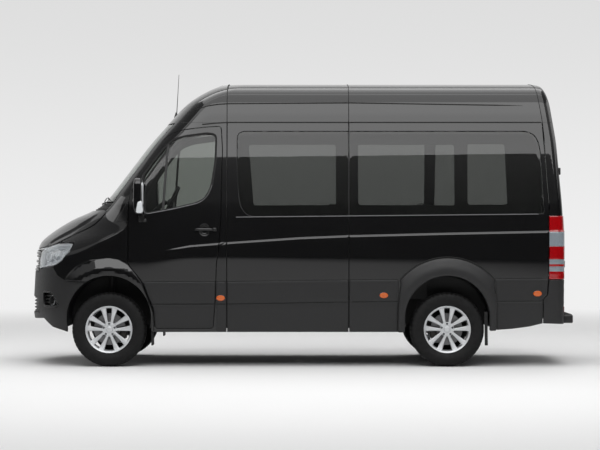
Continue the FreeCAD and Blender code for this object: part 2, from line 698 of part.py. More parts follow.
knuckle = fuse("KnuckleLeft",
    block("KnucklePlate", ("front_axle_x - 50", "0 - track_half + kingpin_inset", "tyre_radius - 110"),
          ("front_axle_x + 50", "0 - track_half + 95", "tyre_radius + 110")),
    rod("KnuckleStub", "y", ("front_axle_x", "0 - track_half - 20", "tyre_radius"), "stub_radius", "90"))
keep("knuckle_left", knuckle)
keep("knuckle_right", mirrored("KnuckleRight", knuckle))

keep("front_suspension", fuse("FrontSuspension",
    block("Crossmember", ("front_axle_x - 60", "-430", "tyre_radius - 150"),
          ("front_axle_x + 60", "430", "tyre_radius - 80")),
    block("ArmLeft", ("front_axle_x - 35", "0 - track_half + kingpin_inset", "tyre_radius - 150"),
          ("front_axle_x + 35", "-420", "tyre_radius - 115")),
    block("ArmRight", ("front_axle_x - 35", "420", "tyre_radius - 150"),
          ("front_axle_x + 35", "track_half - kingpin_inset", "tyre_radius - 115")),
    rod("StrutLeft", "z", ("front_axle_x", "-600", "tyre_radius - 130"), "28",
        "arch_top - tyre_radius + 128"),
    rod("StrutRight", "z", ("front_axle_x", "600", "tyre_radius - 130"), "28",
        "arch_top - tyre_radius + 128")))

rails = []
for side, low, high in (("Left", "0 - rail_half - 35", "0 - rail_half + 35"),
                        ("Right", "rail_half - 35", "rail_half + 35")):
    rails.append(block("Rail" + side, ("nose_x + 160", low, "rail_foot"),
                       ("tail_x - 70", high, "floor_height - floor_thickness")))
for n, place in enumerate(("nose_x + 160", "front_axle_x + 500", "front_axle_x + 1500", "rear_axle_x - 600",
                           "rear_axle_x + 500", "tail_x - 130")):
    rails.append(block("Cross%d" % n, (place, "0 - rail_half", "rail_foot + 60"),
                       (place + " + 60", "rail_half", "floor_height - floor_thickness")))
keep("chassis_frame", fuse("ChassisFrame", *rails))

keep("engine", block("Engine", ("front_axle_x - 520", "-280", "rail_foot - 40"),
                     ("front_axle_x + 10", "280", "1080")))

springs = []
for side, y in (("Left", "-600"), ("Right", "600")):
    springs.append(block("Spring" + side, ("rear_axle_x - 600", y + " - 35", "tyre_radius + 45"),
                         ("rear_axle_x + 600", y + " + 35", "tyre_radius + 75")))
    for n, x in enumerate(("rear_axle_x - 600", "rear_axle_x + 560")):
        springs.append(block("Shackle%s%d" % (side, n), (x, y + " - 25", "tyre_radius + 60"),
                             (x + " + 40", y + " + 25", "floor_height - floor_thickness")))
keep("rear_axle", fuse("RearAxle",
    rod("AxleBeam", "y", ("rear_axle_x", "0 - track_half + 60", "tyre_radius"), "48", "2 * track_half - 120"),
    rod("AxleStubs", "y", ("rear_axle_x", "0 - track_half - 20", "tyre_radius"), "stub_radius",
        "2 * track_half + 40"),
    rod("Differential", "y", ("rear_axle_x", "-110", "tyre_radius"), "140", "220"),
    rod("Propshaft", "x", ("front_axle_x + 70", "0", "tyre_radius + 60"), "35", "wheelbase - 180"), *springs))
keep("fuel_tank", block("FuelTank", ("front_axle_x + 1300", "520", "340"),
                        ("front_axle_x + 2200", "820", "floor_height - floor_thickness")))
keep("exhaust", fuse("Exhaust",
    rod("ExhaustPipe", "x", ("front_axle_x + 70", "-270", "rail_foot + 20"), "28",
        "tail_x - front_axle_x - 150"),
    rod("Silencer", "x", ("front_axle_x + 1700", "-270", "rail_foot + 20"), "85", "620")))

# floor and cabin

floorPlate = block("FloorPlate", ("front_axle_x + 430", "0 - " + far, "floor_height - floor_thickness"),
                   ("tail_x + 10", far, "floor_height"))
toeTable = [(440, 600), (430, 640), (230, 880), (30, 960), (30, 1480), (48, 1480), (48, 975), (240, 896),
            (450, 640), (450, 600)]
toeBoard = prism("ToeBoard", "XZ", near("front_axle_x", toeTable), *across)
rearHouseHoles = [
    arch("RearHouseHole" + side, "rear_axle_x", low, high, grow="liner")
    for side, low, high in (("Left", "0 - " + far, "0 - track_half + rear_house_depth / 2 + 45"),
                            ("Right", "track_half - rear_house_depth / 2 - 45", far))]
frontHouseHoles = arch("FrontHouseHole", "front_axle_x", *across, grow="liner")
keep("floor_pan", takeAway("FloorPan", common("FloorStock", inner, fuse("FloorShape", floorPlate, toeBoard)),
                           *rearHouseHoles, frontHouseHoles))

houses = []
for end, axle, depth in (("Rear", "rear_axle_x", "rear_house_depth"),
                         ("Front", "front_axle_x", "front_house_depth")):
    for side, low, high in (("Left", "0 - " + far, "0 - (track_half + 165 - %s)" % depth),
                            ("Right", "track_half + 165 - %s" % depth, far)):
        ring = takeAway("%sLiner%s" % (end, side),
                        arch("%sHouse%s" % (end, side), axle, low, high, grow="liner"),
                        arch("%sHouseInside%s" % (end, side), axle, low, high))
        houses.append(ring)
liners = common("Liners", inner, fuse("LinerRings", *houses),
                block("LinerLevel", ("nose_x", "0 - " + far, "380"), ("tail_x", far, "1000")))
wheelHouses = keep("wheel_houses",
                   takeAway("WheelHouses", liners,
                            block("LinerGapLeft", ("nose_x", "0 - rail_half - 45", "300"),
                                  ("tail_x", "rail_half + 45", "floor_height - floor_thickness"))))

dashTable = [(60, 1130), (60, 1500), (300, 1530), (400, 1440), (360, 1130)]
keep("dashboard", common("Dashboard", inner, prism("DashZone", "XZ", near("front_axle_x", dashTable),
                                                   "0 - dash_half", "dash_half")))

wheelBody = doc.addObject("Part::Torus", "SteeringRing")
bind(wheelBody, Radius1="185", Radius2="15")
spokeBar = block("SteeringSpoke", ("-185", "-18", "-8"), ("185", "18", "8"))
column = rod("SteeringColumn", "z", ("0", "0", "-200"), "28", "205")
steering = fuse("SteeringWheel", wheelBody, spokeBar, column)
steering.Placement.Rotation = FreeCAD.Rotation(Vector(0, 1, 0), 65)
bind(steering, Placement__Base__x="front_axle_x + 560", Placement__Base__y="-430", Placement__Base__z="1560")
keep("steering_wheel", takeAway("SteeringTrimmed", steering, nodes[-1][1]))

frames = []
cushions = []
# row, front of its cushions, seat centres across; the middle row stands between its neighbours
rowOne, rowThree = "(front_axle_x + first_row_back)", "(tail_x - last_row_ahead)"
seatRows = [("Cab", "front_axle_x + cab_row_back", (-430, 330)), ("One", rowOne, (-560, 0)),
            ("Two", "(%s + %s) / 2 - middle_row_lead" % (rowOne, rowThree), (-560, 0)),
            ("Three", rowThree, (-560, 0, 560))]
for name, x, centres in seatRows:
    for n, y in enumerate(centres):
        tag = "%s%d" % (name, n)
        frames.append(block("SeatFrame" + tag, (x + " + 40", "%d - 110" % y, "floor_height"),
                            (x + " + 420", "%d + 110" % y, "seat_height - 120")))
        cushions.append(block("SeatPad" + tag, (x, "%d - 235" % y, "seat_height - 120"),
                              (x + " + 480", "%d + 235" % y, "seat_height")))
        cushions.append(block("SeatBack" + tag, (x + " + 485", "%d - 230" % y, "seat_height - 60"),
                              (x + " + 595", "%d + 230" % y, "seat_height + 520")))
keep("seat_frames", fuse("SeatFrames", *frames))
keep("seat_cushions", fuse("SeatCushions", *cushions))

# small outside pieces

flaps = [
    block("Flap" + tag, (x, low, "205"), (x + " + 8", high, "flap_head"))
    for tag, x, low, high in (
        ("FrontLeft", "front_axle_x + arch_half + 4", "0 - track_half - 110", "0 - track_half + 110"),
        ("FrontRight", "front_axle_x + arch_half + 4", "track_half - 110", "track_half + 110"),
        ("RearLeft", "rear_axle_x + arch_half - 12", "0 - track_half - 110", "0 - track_half + 110"),
        ("RearRight", "rear_axle_x + arch_half - 12", "track_half - 110", "track_half + 110"))]
keep("mudflaps", takeAway("Mudflaps", fuse("FlapStock", *flaps), shell, wheelHouses))

blades = []
for n, (low, high, yaw) in enumerate((("-700", 620, 5), ("20", 600, -5))):
    blade = doc.addObject("Part::Box", "Blade%d" % n)
    bind(blade, Length="14", Width=str(high), Height="26")
    blade.Placement.Rotation = FreeCAD.Rotation(0, -50, 0)
    bind(blade, Placement__Base__x="nose_x + screen_nose + 55", Placement__Base__y=low,
         Placement__Base__z="screen_height + 110")
    blades.append(blade)
keep("wipers", takeAway("Wipers", fuse("WiperBlades", *blades), outer))

base = doc.addObject("Part::Cone", "AntennaBase")
bind(base, Radius1="22", Radius2="10", Height="60", Placement__Base__x="antenna_x",
     Placement__Base__z="antenna_height - 10")
whip = doc.addObject("Part::Cylinder", "AntennaWhip")
whip.Placement.Rotation = FreeCAD.Rotation(Vector(0, 1, 0), 4)
bind(whip, Radius="3", Height="390", Placement__Base__x="antenna_x", Placement__Base__z="antenna_height + 45")
keep("antenna", takeAway("Antenna", fuse("AntennaShape", base, whip), outer))

# checks and files

doc.recompute()
for thing in doc.Objects:
    if "Invalid" in thing.State or "Error" in thing.State:
        raise RuntimeError("%s failed: %s" % (thing.Label, thing.State))
os.makedirs("parts", exist_ok=True)
for label, thing in nodes:
    if thing.Shape.isNull() or not thing.Shape.isValid() or not thing.Shape.Solids:
        raise RuntimeError("%s has no sound solid" % label)
for label, thing in nodes:
    thing.Shape.exportStep("parts/%s.step" % label)
    box = thing.Shape.BoundBox
    print("%-18s %2d solids  x %7.0f %7.0f  y %7.0f %7.0f  z %7.0f %7.0f" % (
        label, len(thing.Shape.Solids), box.XMin, box.XMax, box.YMin, box.YMax, box.ZMin, box.ZMax))
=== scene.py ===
import math

import bmesh
import bpy
import numpy as np
from mathutils import Matrix, Vector
from mathutils.geometry import delaunay_2d_cdt


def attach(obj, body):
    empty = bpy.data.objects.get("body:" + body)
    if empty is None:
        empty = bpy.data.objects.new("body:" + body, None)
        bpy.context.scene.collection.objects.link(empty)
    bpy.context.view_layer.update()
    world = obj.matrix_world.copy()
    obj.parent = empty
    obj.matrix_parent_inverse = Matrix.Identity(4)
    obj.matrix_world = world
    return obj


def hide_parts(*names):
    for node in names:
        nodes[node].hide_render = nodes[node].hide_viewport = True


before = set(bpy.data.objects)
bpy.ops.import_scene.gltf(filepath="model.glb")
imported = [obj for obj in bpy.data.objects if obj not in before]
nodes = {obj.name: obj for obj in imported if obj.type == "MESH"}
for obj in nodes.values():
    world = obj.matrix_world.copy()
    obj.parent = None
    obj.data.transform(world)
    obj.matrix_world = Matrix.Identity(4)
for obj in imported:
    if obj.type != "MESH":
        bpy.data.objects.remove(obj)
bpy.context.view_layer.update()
print("stage: frame loaded")


# colours and materials

def hexColour(text):
    # sRGB hex to linear: each part is ((c + 0.055) / 1.055) ^ 2.4, or c / 12.92 where it is dark
    parts = [int(text[i:i + 2], 16) / 255 for i in (0, 2, 4)]
    return tuple(c / 12.92 if c <= 0.04045 else ((c + 0.055) / 1.055) ** 2.4 for c in parts) + (1.0,)


def addNode(tree, kind, options=None, values=None, links=None):
    # one node with its own settings, its socket values and what feeds its sockets
    node = tree.nodes.new(kind)
    for key, value in (options or {}).items():
        setattr(node, key, value)
    for key, value in (values or {}).items():
        node.inputs[key].default_value = value
    for key, socket in (links or {}).items():
        tree.links.new(socket, node.inputs[key])
    return node


def makeMaterial(name, tones, grain, roughness, relief=0.0, shader=None):
    # two hex tones mixed by a noise of the grain size in mm, roughness between two values by a
    # noise eight grains wide, and bumps of the relief height in mm
    material = bpy.data.materials.new(name)
    material.use_nodes = True
    tree = material.node_tree
    body = tree.nodes["Principled BSDF"]
    place = addNode(tree, "ShaderNodeTexCoord").outputs["Object"]
    place = addNode(tree, "ShaderNodeMapping", values={"Scale": (1, 1, 1)},
                    links={"Vector": place}).outputs[0]
    fine = addNode(tree, "ShaderNodeTexNoise", values={"Scale": 1000 / grain, "Detail": 3.0},
                   links={"Vector": place})
    broad = addNode(tree, "ShaderNodeTexNoise", values={"Scale": 125 / grain, "Detail": 2.0},
                    links={"Vector": place})
    mix = addNode(tree, "ShaderNodeMix", {"data_type": "RGBA"}, links={"Factor": fine.outputs["Fac"]})
    mix.inputs["A"].default_value, mix.inputs["B"].default_value = hexColour(tones[0]), hexColour(tones[1])
    tree.links.new(mix.outputs["Result"], body.inputs["Base Color"])
    span = addNode(tree, "ShaderNodeMapRange", values={"From Min": 0.3, "From Max": 0.7,
                                                       "To Min": roughness[0],
                   "To Max": roughness[1]}, links={"Value": broad.outputs["Fac"]})
    tree.links.new(span.outputs["Result"], body.inputs["Roughness"])
    if relief:
        bump = addNode(tree, "ShaderNodeBump", values={"Strength": 1.0, "Distance": relief / 1000},
                       links={"Height": fine.outputs["Fac"]})
        tree.links.new(bump.outputs["Normal"], body.inputs["Normal"])
    for key, value in (shader or {}).items():
        body.inputs[key].default_value = value
    return material


coatOfLacquer = {"Coat Weight": 1.0, "Coat Roughness": 0.015, "Coat IOR": 1.5, "Specular IOR Level": 0.05}
# base coat under clear lacquer: near black, sharp reflections with a faint orange peel
blackPaint = makeMaterial("lacqueredBlackPaint", ("070708", "0b0b0c"), 60, (0.38, 0.46), 0.0, coatOfLacquer)
# moulded polypropylene cladding: dark grey, fine leather grain, soft sheen
claddingPlastic = makeMaterial("grainedPolypropylene", ("131314", "19191a"), 2.5, (0.42, 0.52), 0.06)
# smooth moulded ABS of mirrors, cowl and trim
mouldedPlastic = makeMaterial("mouldedBlackAbs", ("131314", "191919"), 4.0, (0.34, 0.46), 0.03)
# matt interior lining, pressed and painted
liningPlastic = makeMaterial("interiorLining", ("3a3a3b", "434344"), 3.0, (0.6, 0.72), 0.08)
# body sheet: painted outside, lined inside
paintedSheet = [blackPaint, liningPlastic]
# glossy black ABS of the grille
glossPlastic = makeMaterial("polishedBlackAbs", ("0c0c0d", "121213"), 8.0, (0.12, 0.2))
# vulcanised tyre rubber: matt charcoal with a bloom
tyreRubber = makeMaterial("vulcanisedRubber", ("050505", "0a0a0b"), 6.0, (0.62, 0.76), 0.12,
                          {"Specular IOR Level": 0.3})
# rolled window lips: black body-coloured lips, given a mid grey with some metal along their run as a painted
# highlight
paintedHighlightLip = makeMaterial("lipWithPaintedHighlight", ("5a5a5c", "6c6c6e"), 5.0, (0.3, 0.4), 0.0, {"Metallic": 0.5})
# extruded seal rubber; the same black also lines roof and cladding seams, backs the sills and rings the wheel
# bolts as painted shade
rubberAndPaintedShade = makeMaterial("sealRubberAndPaintedShade", ("060606", "0a0a0a"), 5.0, (0.7, 0.8))
# cast alloy, machined and lacquered silver
castAlloy = makeMaterial("lacqueredCastAlloy", ("c6c8ca", "d2d4d6"), 3.0, (0.40, 0.48), 0.0,
                         {"Metallic": 0.5, "Coat Weight": 0.4, "Coat Roughness": 0.08})
# turned cast iron of the discs
turnedIron = makeMaterial("turnedCastIron", ("6f6f70", "8a8a8b"), 2.0, (0.28, 0.42), 0.05, {"Metallic": 0.9})
# vacuum aluminised reflectors
brightReflector = makeMaterial("aluminisedReflector", ("e6e9ec", "f6f8f9"), 12.0, (0.2, 0.3), 0.0,
                               {"Metallic": 0.3})
# chromed zinc of the lock and trims
chromedZinc = makeMaterial("chromedZinc", ("c9cccf", "dcdee0"), 8.0, (0.08, 0.14), 0.0, {"Metallic": 1.0})
# chassis rails: cathodic dip coat
dipCoat = makeMaterial("dipCoatedSteel", ("141415", "1d1d1e"), 14.0, (0.45, 0.62), 0.05, {"Metallic": 0.3})
# as-cast iron of axles and knuckles
castIron = makeMaterial("asCastIron", ("2c2a28", "3d3a37"), 5.0, (0.6, 0.75), 0.3, {"Metallic": 0.5})
# galvanised sheet of tank straps and exhaust
zincSheet = makeMaterial("galvanisedSheet", ("6d7072", "86898b"), 18.0, (0.35, 0.5), 0.02, {"Metallic": 0.85})
# powder coated tube of the seat frames
powderCoat = makeMaterial("powderCoatedTube", ("232324", "2b2b2c"), 2.0, (0.5, 0.6), 0.05)
# floor vinyl: speckled safety sheet
floorVinyl = makeMaterial("speckledFloorVinyl", ("2a2b2d", "4a4c4f"), 4.0, (0.5, 0.62), 0.05)


def makeGlass(name, tone):
    # a see-through moulding: the tone is what one wall lets through, with a faint ripple in its polish
    return makeMaterial(name, (tone, tone), 40.0, (0.0, 0.01), 0.0, {"Transmission Weight": 1.0, "IOR": 1.45})


privacyGlass = makeGlass("toughenedPrivacyGlass", "8c8e8c")  # body-tinted toughened sheet
cabGlass = makeGlass("toughenedGreenGlass", "a4a8a4")  # lighter tint beside the driver
screenGlass = makeGlass("laminatedScreenGlass", "c4cac6")  # laminated, lightly tinted
lampCover = makeGlass("hardCoatedPolycarbonate", "f4f6f8")  # clear lamp cover
redLens = makeMaterial("redMouldedAcrylic", ("a30008", "c4000c"), 9.0, (0.1, 0.16), 0.2,
                       {"Transmission Weight": 0.35, "Coat Weight": 0.6})  # fluted tail lamp red
clearLens = makeMaterial("clearFlutedAcrylic", ("e4eaee", "fafcfd"), 9.0, (0.1, 0.18), 0.25,
                         {"Transmission Weight": 0.25, "Coat Weight": 0.6})
greyLens = makeMaterial("clearRearAcrylic", ("7f8a92", "a2abb2"), 9.0, (0.1, 0.18), 0.25,
                        {"Transmission Weight": 0.25, "Coat Weight": 0.6})
amberLens = makeMaterial("amberMouldedAcrylic", ("b84c06", "cf620e"), 6.0, (0.16, 0.22), 0.2,
                         {"Coat Weight": 0.5})
print("stage: materials")


# meshes

def makeObject(name, points, faces, materials, slots=None, cornerNormals=None, sharp=35):
    # one mesh object at the origin, smooth, with either its own corner normals or edges split by angle
    mesh = bpy.data.meshes.new(name)
    mesh.from_pydata(np.asarray(points, float).tolist(), [], [list(f) for f in faces])
    for material in materials:
        mesh.materials.append(material)
    if slots is not None:
        mesh.polygons.foreach_set("material_index", np.asarray(slots, np.int32))
    mesh.polygons.foreach_set("use_smooth", np.ones(len(mesh.polygons), bool))
    if cornerNormals is not None:
        mesh.normals_split_custom_set(np.asarray(cornerNormals, float).tolist())
    else:
        mesh.set_sharp_from_angle(angle=math.radians(sharp))
    mesh.update()
    thing = bpy.data.objects.new(name, mesh)
    bpy.context.scene.collection.objects.link(thing)
    return thing


def unit(vectors):
    # each vector divided by its length
    return vectors / np.maximum(np.linalg.norm(vectors, axis=-1, keepdims=True), 1e-12)


def gridFaces(rows, columns, closedRows=False, closedColumns=False):
    # the quads of a rows x columns grid of points, wrapping round where it is closed
    i, j = np.meshgrid(np.arange(rows if closedRows else rows - 1),
                       np.arange(columns if closedColumns else columns - 1), indexing="ij")
    i2, j2 = (i + 1) % rows, (j + 1) % columns
    quads = np.stack([i * columns + j, i2 * columns + j, i2 * columns + j2, i * columns + j2], -1)
    return quads.reshape(-1, 4)


def weld(points, normals, faces):
    # points within a hundredth of a millimetre become one, and faces that lose a corner go
    _, first, inverse = np.unique(np.round(points * 1e5).astype(np.int64), axis=0, return_index=True,
                                     return_inverse=True)
    inverse = inverse.reshape(-1)
    triangles = np.vstack([faces[:, [0, 1, 2]], faces[:, [0, 2, 3]]]) if faces.shape[1] == 4 else faces
    triangles = inverse[triangles]
    one, two, three = triangles.T
    return points[first], normals[first], triangles[(one != two) & (two != three) & (one != three)]


def shell(name, points, normals, triangles, thick, roll, materials):
    # closes an open skin into a wall: the rim turns through a quarter circle of radius roll,
    # point = rim + inward roll (1 - sin a) - normal roll (1 - cos a), then runs to the inner skin at -thick
    cross = np.cross(points[triangles[:, 1]] - points[triangles[:, 0]],
                     points[triangles[:, 2]] - points[triangles[:, 0]])
    if (cross * normals[triangles[:, 0]]).sum() < 0:
        triangles = triangles[:, ::-1]
    count = len(points)
    edges = np.vstack([triangles[:, [0, 1]], triangles[:, [1, 2]], triangles[:, [2, 0]]])
    keys = np.sort(edges, axis=1)
    keys = keys[:, 0] * count + keys[:, 1]
    _, first, uses = np.unique(keys, return_index=True, return_counts=True)
    rim = edges[first[uses == 1]]
    ahead, behind = np.full(count, -1), np.full(count, -1)
    ahead[rim[:, 0]] = rim[:, 1]
    behind[rim[:, 1]] = rim[:, 0]
    edge = np.unique(rim)
    ahead[ahead < 0], behind[behind < 0] = 0, 0
    inward = unit(np.cross(normals[edge], unit(points[ahead[edge]] - points[behind[edge]])))
    spot = np.full(count, -1)
    spot[edge] = np.arange(len(edge))
    angles = np.radians([0, 30, 60, 90]) if roll else np.radians([90])
    outerPoints = points.copy()
    rings, ringNormals = [], []
    for a in angles:
        rings.append(points[edge] + inward * roll * (1 - math.sin(a))
                     - normals[edge] * roll * (1 - math.cos(a)))
        ringNormals.append(normals[edge] * math.cos(a) - inward * math.sin(a))
    outerPoints[edge] = rings[0]
    inner = points - normals * thick
    allPoints = np.vstack([outerPoints] + rings[1:] + [inner])
    innerStart = count + len(edge) * (len(angles) - 1)
    faces, corner, slots = [triangles], [normals[triangles]], [np.zeros(len(triangles), int)]
    a, b = spot[rim[:, 0]], spot[rim[:, 1]]

    def ringIndex(k, which):
        return edge[which] if k == 0 else count + (k - 1) * len(edge) + which

    def band(i0, i1, j0, j1, n0, n1, m0, m1):
        faces.append(np.vstack([np.stack([i1, i0, j0], 1), np.stack([i1, j0, j1], 1)]))
        corner.append(np.vstack([np.stack([n1, n0, m0], 1), np.stack([n1, m0, m1], 1)]))
        slots.append(np.zeros(2 * len(i0), int))

    for k in range(len(angles) - 1):
        band(ringIndex(k, a), ringIndex(k, b), ringIndex(k + 1, a), ringIndex(k + 1, b),
             ringNormals[k][a], ringNormals[k][b], ringNormals[k + 1][a], ringNormals[k + 1][b])
    last = len(angles) - 1
    band(ringIndex(last, a), ringIndex(last, b), innerStart + edge[a], innerStart + edge[b],
         -inward[a], -inward[b], -inward[a], -inward[b])
    back = triangles[:, ::-1]
    faces.append(back + innerStart)
    corner.append(-normals[back])
    slots.append(np.full(len(back), len(materials) - 1))
    return makeObject(name, allPoints, np.vstack(faces), materials, np.concatenate(slots),
                      np.vstack(corner).reshape(-1, 3))


# outlines

def rounded(points, cut=0.025, steps=5, closed=True):
    # every corner is replaced by a parabola that starts one cut before it, or less on a short side;
    # a doubled point has no side to cut, and the points that come of it are left out
    points = np.asarray(points, float)
    before, after = np.roll(points, 1, 0), np.roll(points, -1, 0)
    lengthIn = np.linalg.norm(before - points, axis=1, keepdims=True)
    lengthOut = np.linalg.norm(after - points, axis=1, keepdims=True)
    start = points + (before - points) / lengthIn * np.minimum(cut, 0.49 * lengthIn)
    end = points + (after - points) / lengthOut * np.minimum(cut, 0.49 * lengthOut)
    if not closed:
        start[[0, -1]], end[[0, -1]] = points[[0, -1]], points[[0, -1]]
    t = np.linspace(0, 1, steps)[None, :, None]
    curve = start[:, None] * (1 - t) ** 2 + 2 * points[:, None] * t * (1 - t) + end[:, None] * t ** 2
    curve = curve.reshape(-1, 2)
    apart = np.linalg.norm(curve - np.roll(curve, 1, 0), axis=1) > 0.0004
    return curve[apart]


def counterClockwise(points):
    # the outline turned about if the sum of x z' - x' z over its sides is negative
    after = np.roll(points, -1, 0)
    area = (points[:, 0] * after[:, 1] - after[:, 0] * points[:, 1]).sum()
    return points if area > 0 else points[::-1]


def grown(points, distance):
    # every corner moves out along the mean of its sides' normals
    points = counterClockwise(np.asarray(points))
    before, after = unit(points - np.roll(points, 1, 0)), unit(np.roll(points, -1, 0) - points)
    normal = unit(before + after)
    slope = np.maximum((normal * before).sum(1, keepdims=True), 0.5)
    return points + np.stack([normal[:, 1], -normal[:, 0]], 1) * distance / slope


def spaced(points, spacing, closed=True):
    # points no further apart than the spacing along an outline
    points = np.asarray(points, float)
    after = np.roll(points, -1, 0) if closed else points[1:]
    points = points if closed else points[:-1]
    parts = np.maximum(np.ceil(np.linalg.norm(after - points, axis=1) / spacing), 1).astype(int)
    share = np.concatenate([np.arange(n) / n for n in parts])[:, None]
    return np.repeat(points, parts, 0) * (1 - share) + np.repeat(after, parts, 0) * share


def inside(points, loop):
    # even-odd rule, all points against all sides at once
    x, z = points[:, 0:1], points[:, 1:2]
    after = np.roll(loop, -1, 0)
    crosses = (loop[None, :, 1] > z) != (after[None, :, 1] > z)
    rise = np.where(after[:, 1] == loop[:, 1], 1e-12, after[:, 1] - loop[:, 1])
    at = loop[None, :, 0] + (z - loop[None, :, 1]) * (after[:, 0] - loop[:, 0])[None] / rise[None]
    return (crosses & (x < at)).sum(1) % 2 == 1


def skin(outer, holes, step, edge, extra=None):
    # a flat sheet of triangles inside an outline and outside its holes: a lattice of points one
    # step apart, joined by Delaunay triangles that keep to the outlines
    loops = [spaced(counterClockwise(outer), edge)] + [spaced(counterClockwise(h), edge) for h in holes]
    low, high = outer.min(0), outer.max(0)
    xs = np.arange(low[0] + step / 2, high[0], step)
    zs = np.arange(low[1] + step / 2, high[1], step)
    lattice = np.stack(np.meshgrid(xs, zs), -1).reshape(-1, 2)
    lattice[:, 0] += np.where(np.round((lattice[:, 1] - low[1]) / step - 0.5) % 2 == 1, step / 2, 0)
    if extra is not None:
        far = np.ones(len(lattice), bool)
        for block in np.array_split(np.arange(len(lattice)), max(1, len(lattice) // 2000)):
            gap = np.abs(lattice[block][:, None] - extra[None])
            far[block] = ((gap[..., 0] > step * 0.45) | (gap[..., 1] > step * 0.3)).all(1)
        lattice = np.vstack([lattice[far], extra])
    wanted = inside(lattice, loops[0])
    for loop in loops[1:]:
        wanted &= ~inside(lattice, loop)
    lattice = lattice[wanted]
    rims = np.vstack(loops)
    near = np.full(len(lattice), np.inf)
    for block in np.array_split(np.arange(len(lattice)), max(1, len(lattice) // 2000)):
        if len(block):
            near[block] = np.linalg.norm(lattice[block][:, None] - rims[None], axis=2).min(1)
    lattice = lattice[near > min(edge, step) * 0.6]
    points = np.vstack([rims, lattice])
    sides, start = [], 0
    for loop in loops:
        n = len(loop)
        sides += [(start + i, start + (i + 1) % n) for i in range(n)]
        start += n
    found = delaunay_2d_cdt([Vector(p) for p in points.tolist()], sides, [], 1, 1e-7)
    flat = np.array([tuple(v) for v in found[0]])
    triangles = np.array([f for f in found[2] if len(f) == 3])
    middle = flat[triangles].mean(1)
    keep = inside(middle, loops[0])
    for loop in loops[1:]:
        keep &= ~inside(middle, loop)
    return flat, triangles[keep]


def panel(name, outer, holes, surface, thick, materials, step=0.035, roll=0.003, edge=0.012, extra=None):
    # a sheet cut to its outline in the flat and laid on a body surface, closed to a wall of its thickness
    flat, triangles = skin(np.asarray(outer), [np.asarray(h) for h in holes], step, edge, extra)
    points, normals = surface(flat)
    return shell(name, points, normals, triangles, thick, roll, materials)


# the body's surface

bodyForm = {
    "noseX": -2.655, "tailX": 2.552, "frontAxle": -1.822, "rearAxle": 1.428, "axleHeight": 0.357,
    "turnScale": 0.8, "tailRadius": 0.07, "gutter": 2.35, "softening": 0.06,
    # height, then behind the nose: middle, corner, corner half-width, where the side starts, half-width
    # and tail rake
    "levels": [
        (0.330, 0.030, 0.230, 0.740, 0.560, 0.925, 0.000), (0.535, 0.000, 0.210, 0.770, 0.560, 0.950, 0.000),
        (1.069, 0.030, 0.240, 0.790, 0.640, 0.992, 0.001), (1.165, 0.055, 0.300, 0.780, 0.700, 0.992, 0.002),
        (1.331, 0.271, 0.620, 0.770, 1.050, 0.984, 0.005), (1.512, 0.615, 0.800, 0.760, 1.060, 0.972, 0.014),
        (1.583, 0.734, 0.830, 0.760, 1.100, 0.962, 0.018), (2.167, 1.178, 1.265, 0.690, 1.560, 0.888, 0.065),
        (2.570, 1.540, 1.625, 0.640, 1.900, 0.842, 0.130), (2.721, 1.782, 1.880, 0.610, 2.120, 0.820, 0.190),
        (2.800, 1.990, 2.090, 0.600, 2.300, 0.810, 0.240)],
    # the roof's half section, from the gutter over the crease and shoulder to the crown
    "roof": [(0.866, 2.350), (0.856, 2.440), (0.842, 2.535), (0.822, 2.595), (0.790, 2.645), (0.730, 2.685),
             (0.640, 2.712), (0.450, 2.738), (0.230, 2.757), (0.000, 2.764)],
    # the belt crease, along and up
    "crease": [(-1.425, 1.083), (-1.041, 1.150), (-0.686, 1.179), (0.014, 1.227), (0.483, 1.246),
               (1.452, 1.270), (2.552, 1.292)],
}
noseX, tailX = bodyForm["noseX"], bodyForm["tailX"]
frontAxle, rearAxle, axleHeight = bodyForm["frontAxle"], bodyForm["rearAxle"], bodyForm["axleHeight"]
turnScale, tailRadius, gutter = bodyForm["turnScale"], bodyForm["tailRadius"], bodyForm["gutter"]
quarter = turnScale * math.pi / 2
levelTable = np.array(bodyForm["levels"])
heights = np.arange(0.20, 2.90, 0.01)


def softened(column):
    # the table read every centimetre and averaged by a raised cosine window
    reach = int(round(2 * bodyForm["softening"] / 0.01))
    window = 1 - np.cos(2 * np.pi * (np.arange(2 * reach + 1) + 1) / (2 * reach + 2))
    values = np.pad(np.interp(heights, levelTable[:, 0], levelTable[:, column]), reach, "reflect",
                    reflect_type="odd")
    return np.convolve(values, window / window.sum(), "valid")


middleRow, cornerRow, cornerHalfRow, sideRow, halfRow, tailRow = [softened(k) for k in range(1, 7)]
reachRow = sideRow - middleRow
powerRow = np.log(1 - (cornerHalfRow / halfRow) ** 2) / np.log(1 - (cornerRow - middleRow) / reachRow)
crease = np.array(bodyForm["crease"])


def planAt(z):
    # middle of the nose, length of the turn, half-width, power of the turn and tail at a height
    rows = (noseX + middleRow, reachRow, halfRow, powerRow, tailX - tailRow)
    return [np.interp(z, heights, row) for row in rows]


def field(x, y, z):
    # nought on the body: ahead (1 - t)^power + (y / half)^2 - 1 with t the share of the turn,
    # behind the distance to a rounded rectangle
    nose, reach, half, power, tail = planAt(z)
    t = np.clip((x - nose) / reach, -1, 1)
    ahead = (1 - t) ** power + (y / half) ** 2 - 1
    dx, dy = x - (tail - tailRadius), np.abs(y) - (half - tailRadius)
    behind = np.hypot(np.maximum(dx, 0), np.maximum(dy, 0)) + np.minimum(np.maximum(dx, dy), 0) - tailRadius
    return np.where(x < 1.0, ahead, behind)


def fieldNormal(x, y, z):
    # the field's slope by central differences
    d, dz = 0.001, 0.015
    return unit(np.stack([field(x + d, y, z) - field(x - d, y, z), field(x, y + d, z) - field(x, y - d, z),
                          (field(x, y, z + dz) - field(x, y, z - dz)) * d / dz], -1))


def smooth(value, low, high):
    # t^2 (3 - 2 t), with t rising from 0 at low to 1 at high
    t = np.clip((value - low) / (high - low), 0, 1)
    return t * t * (3 - 2 * t)


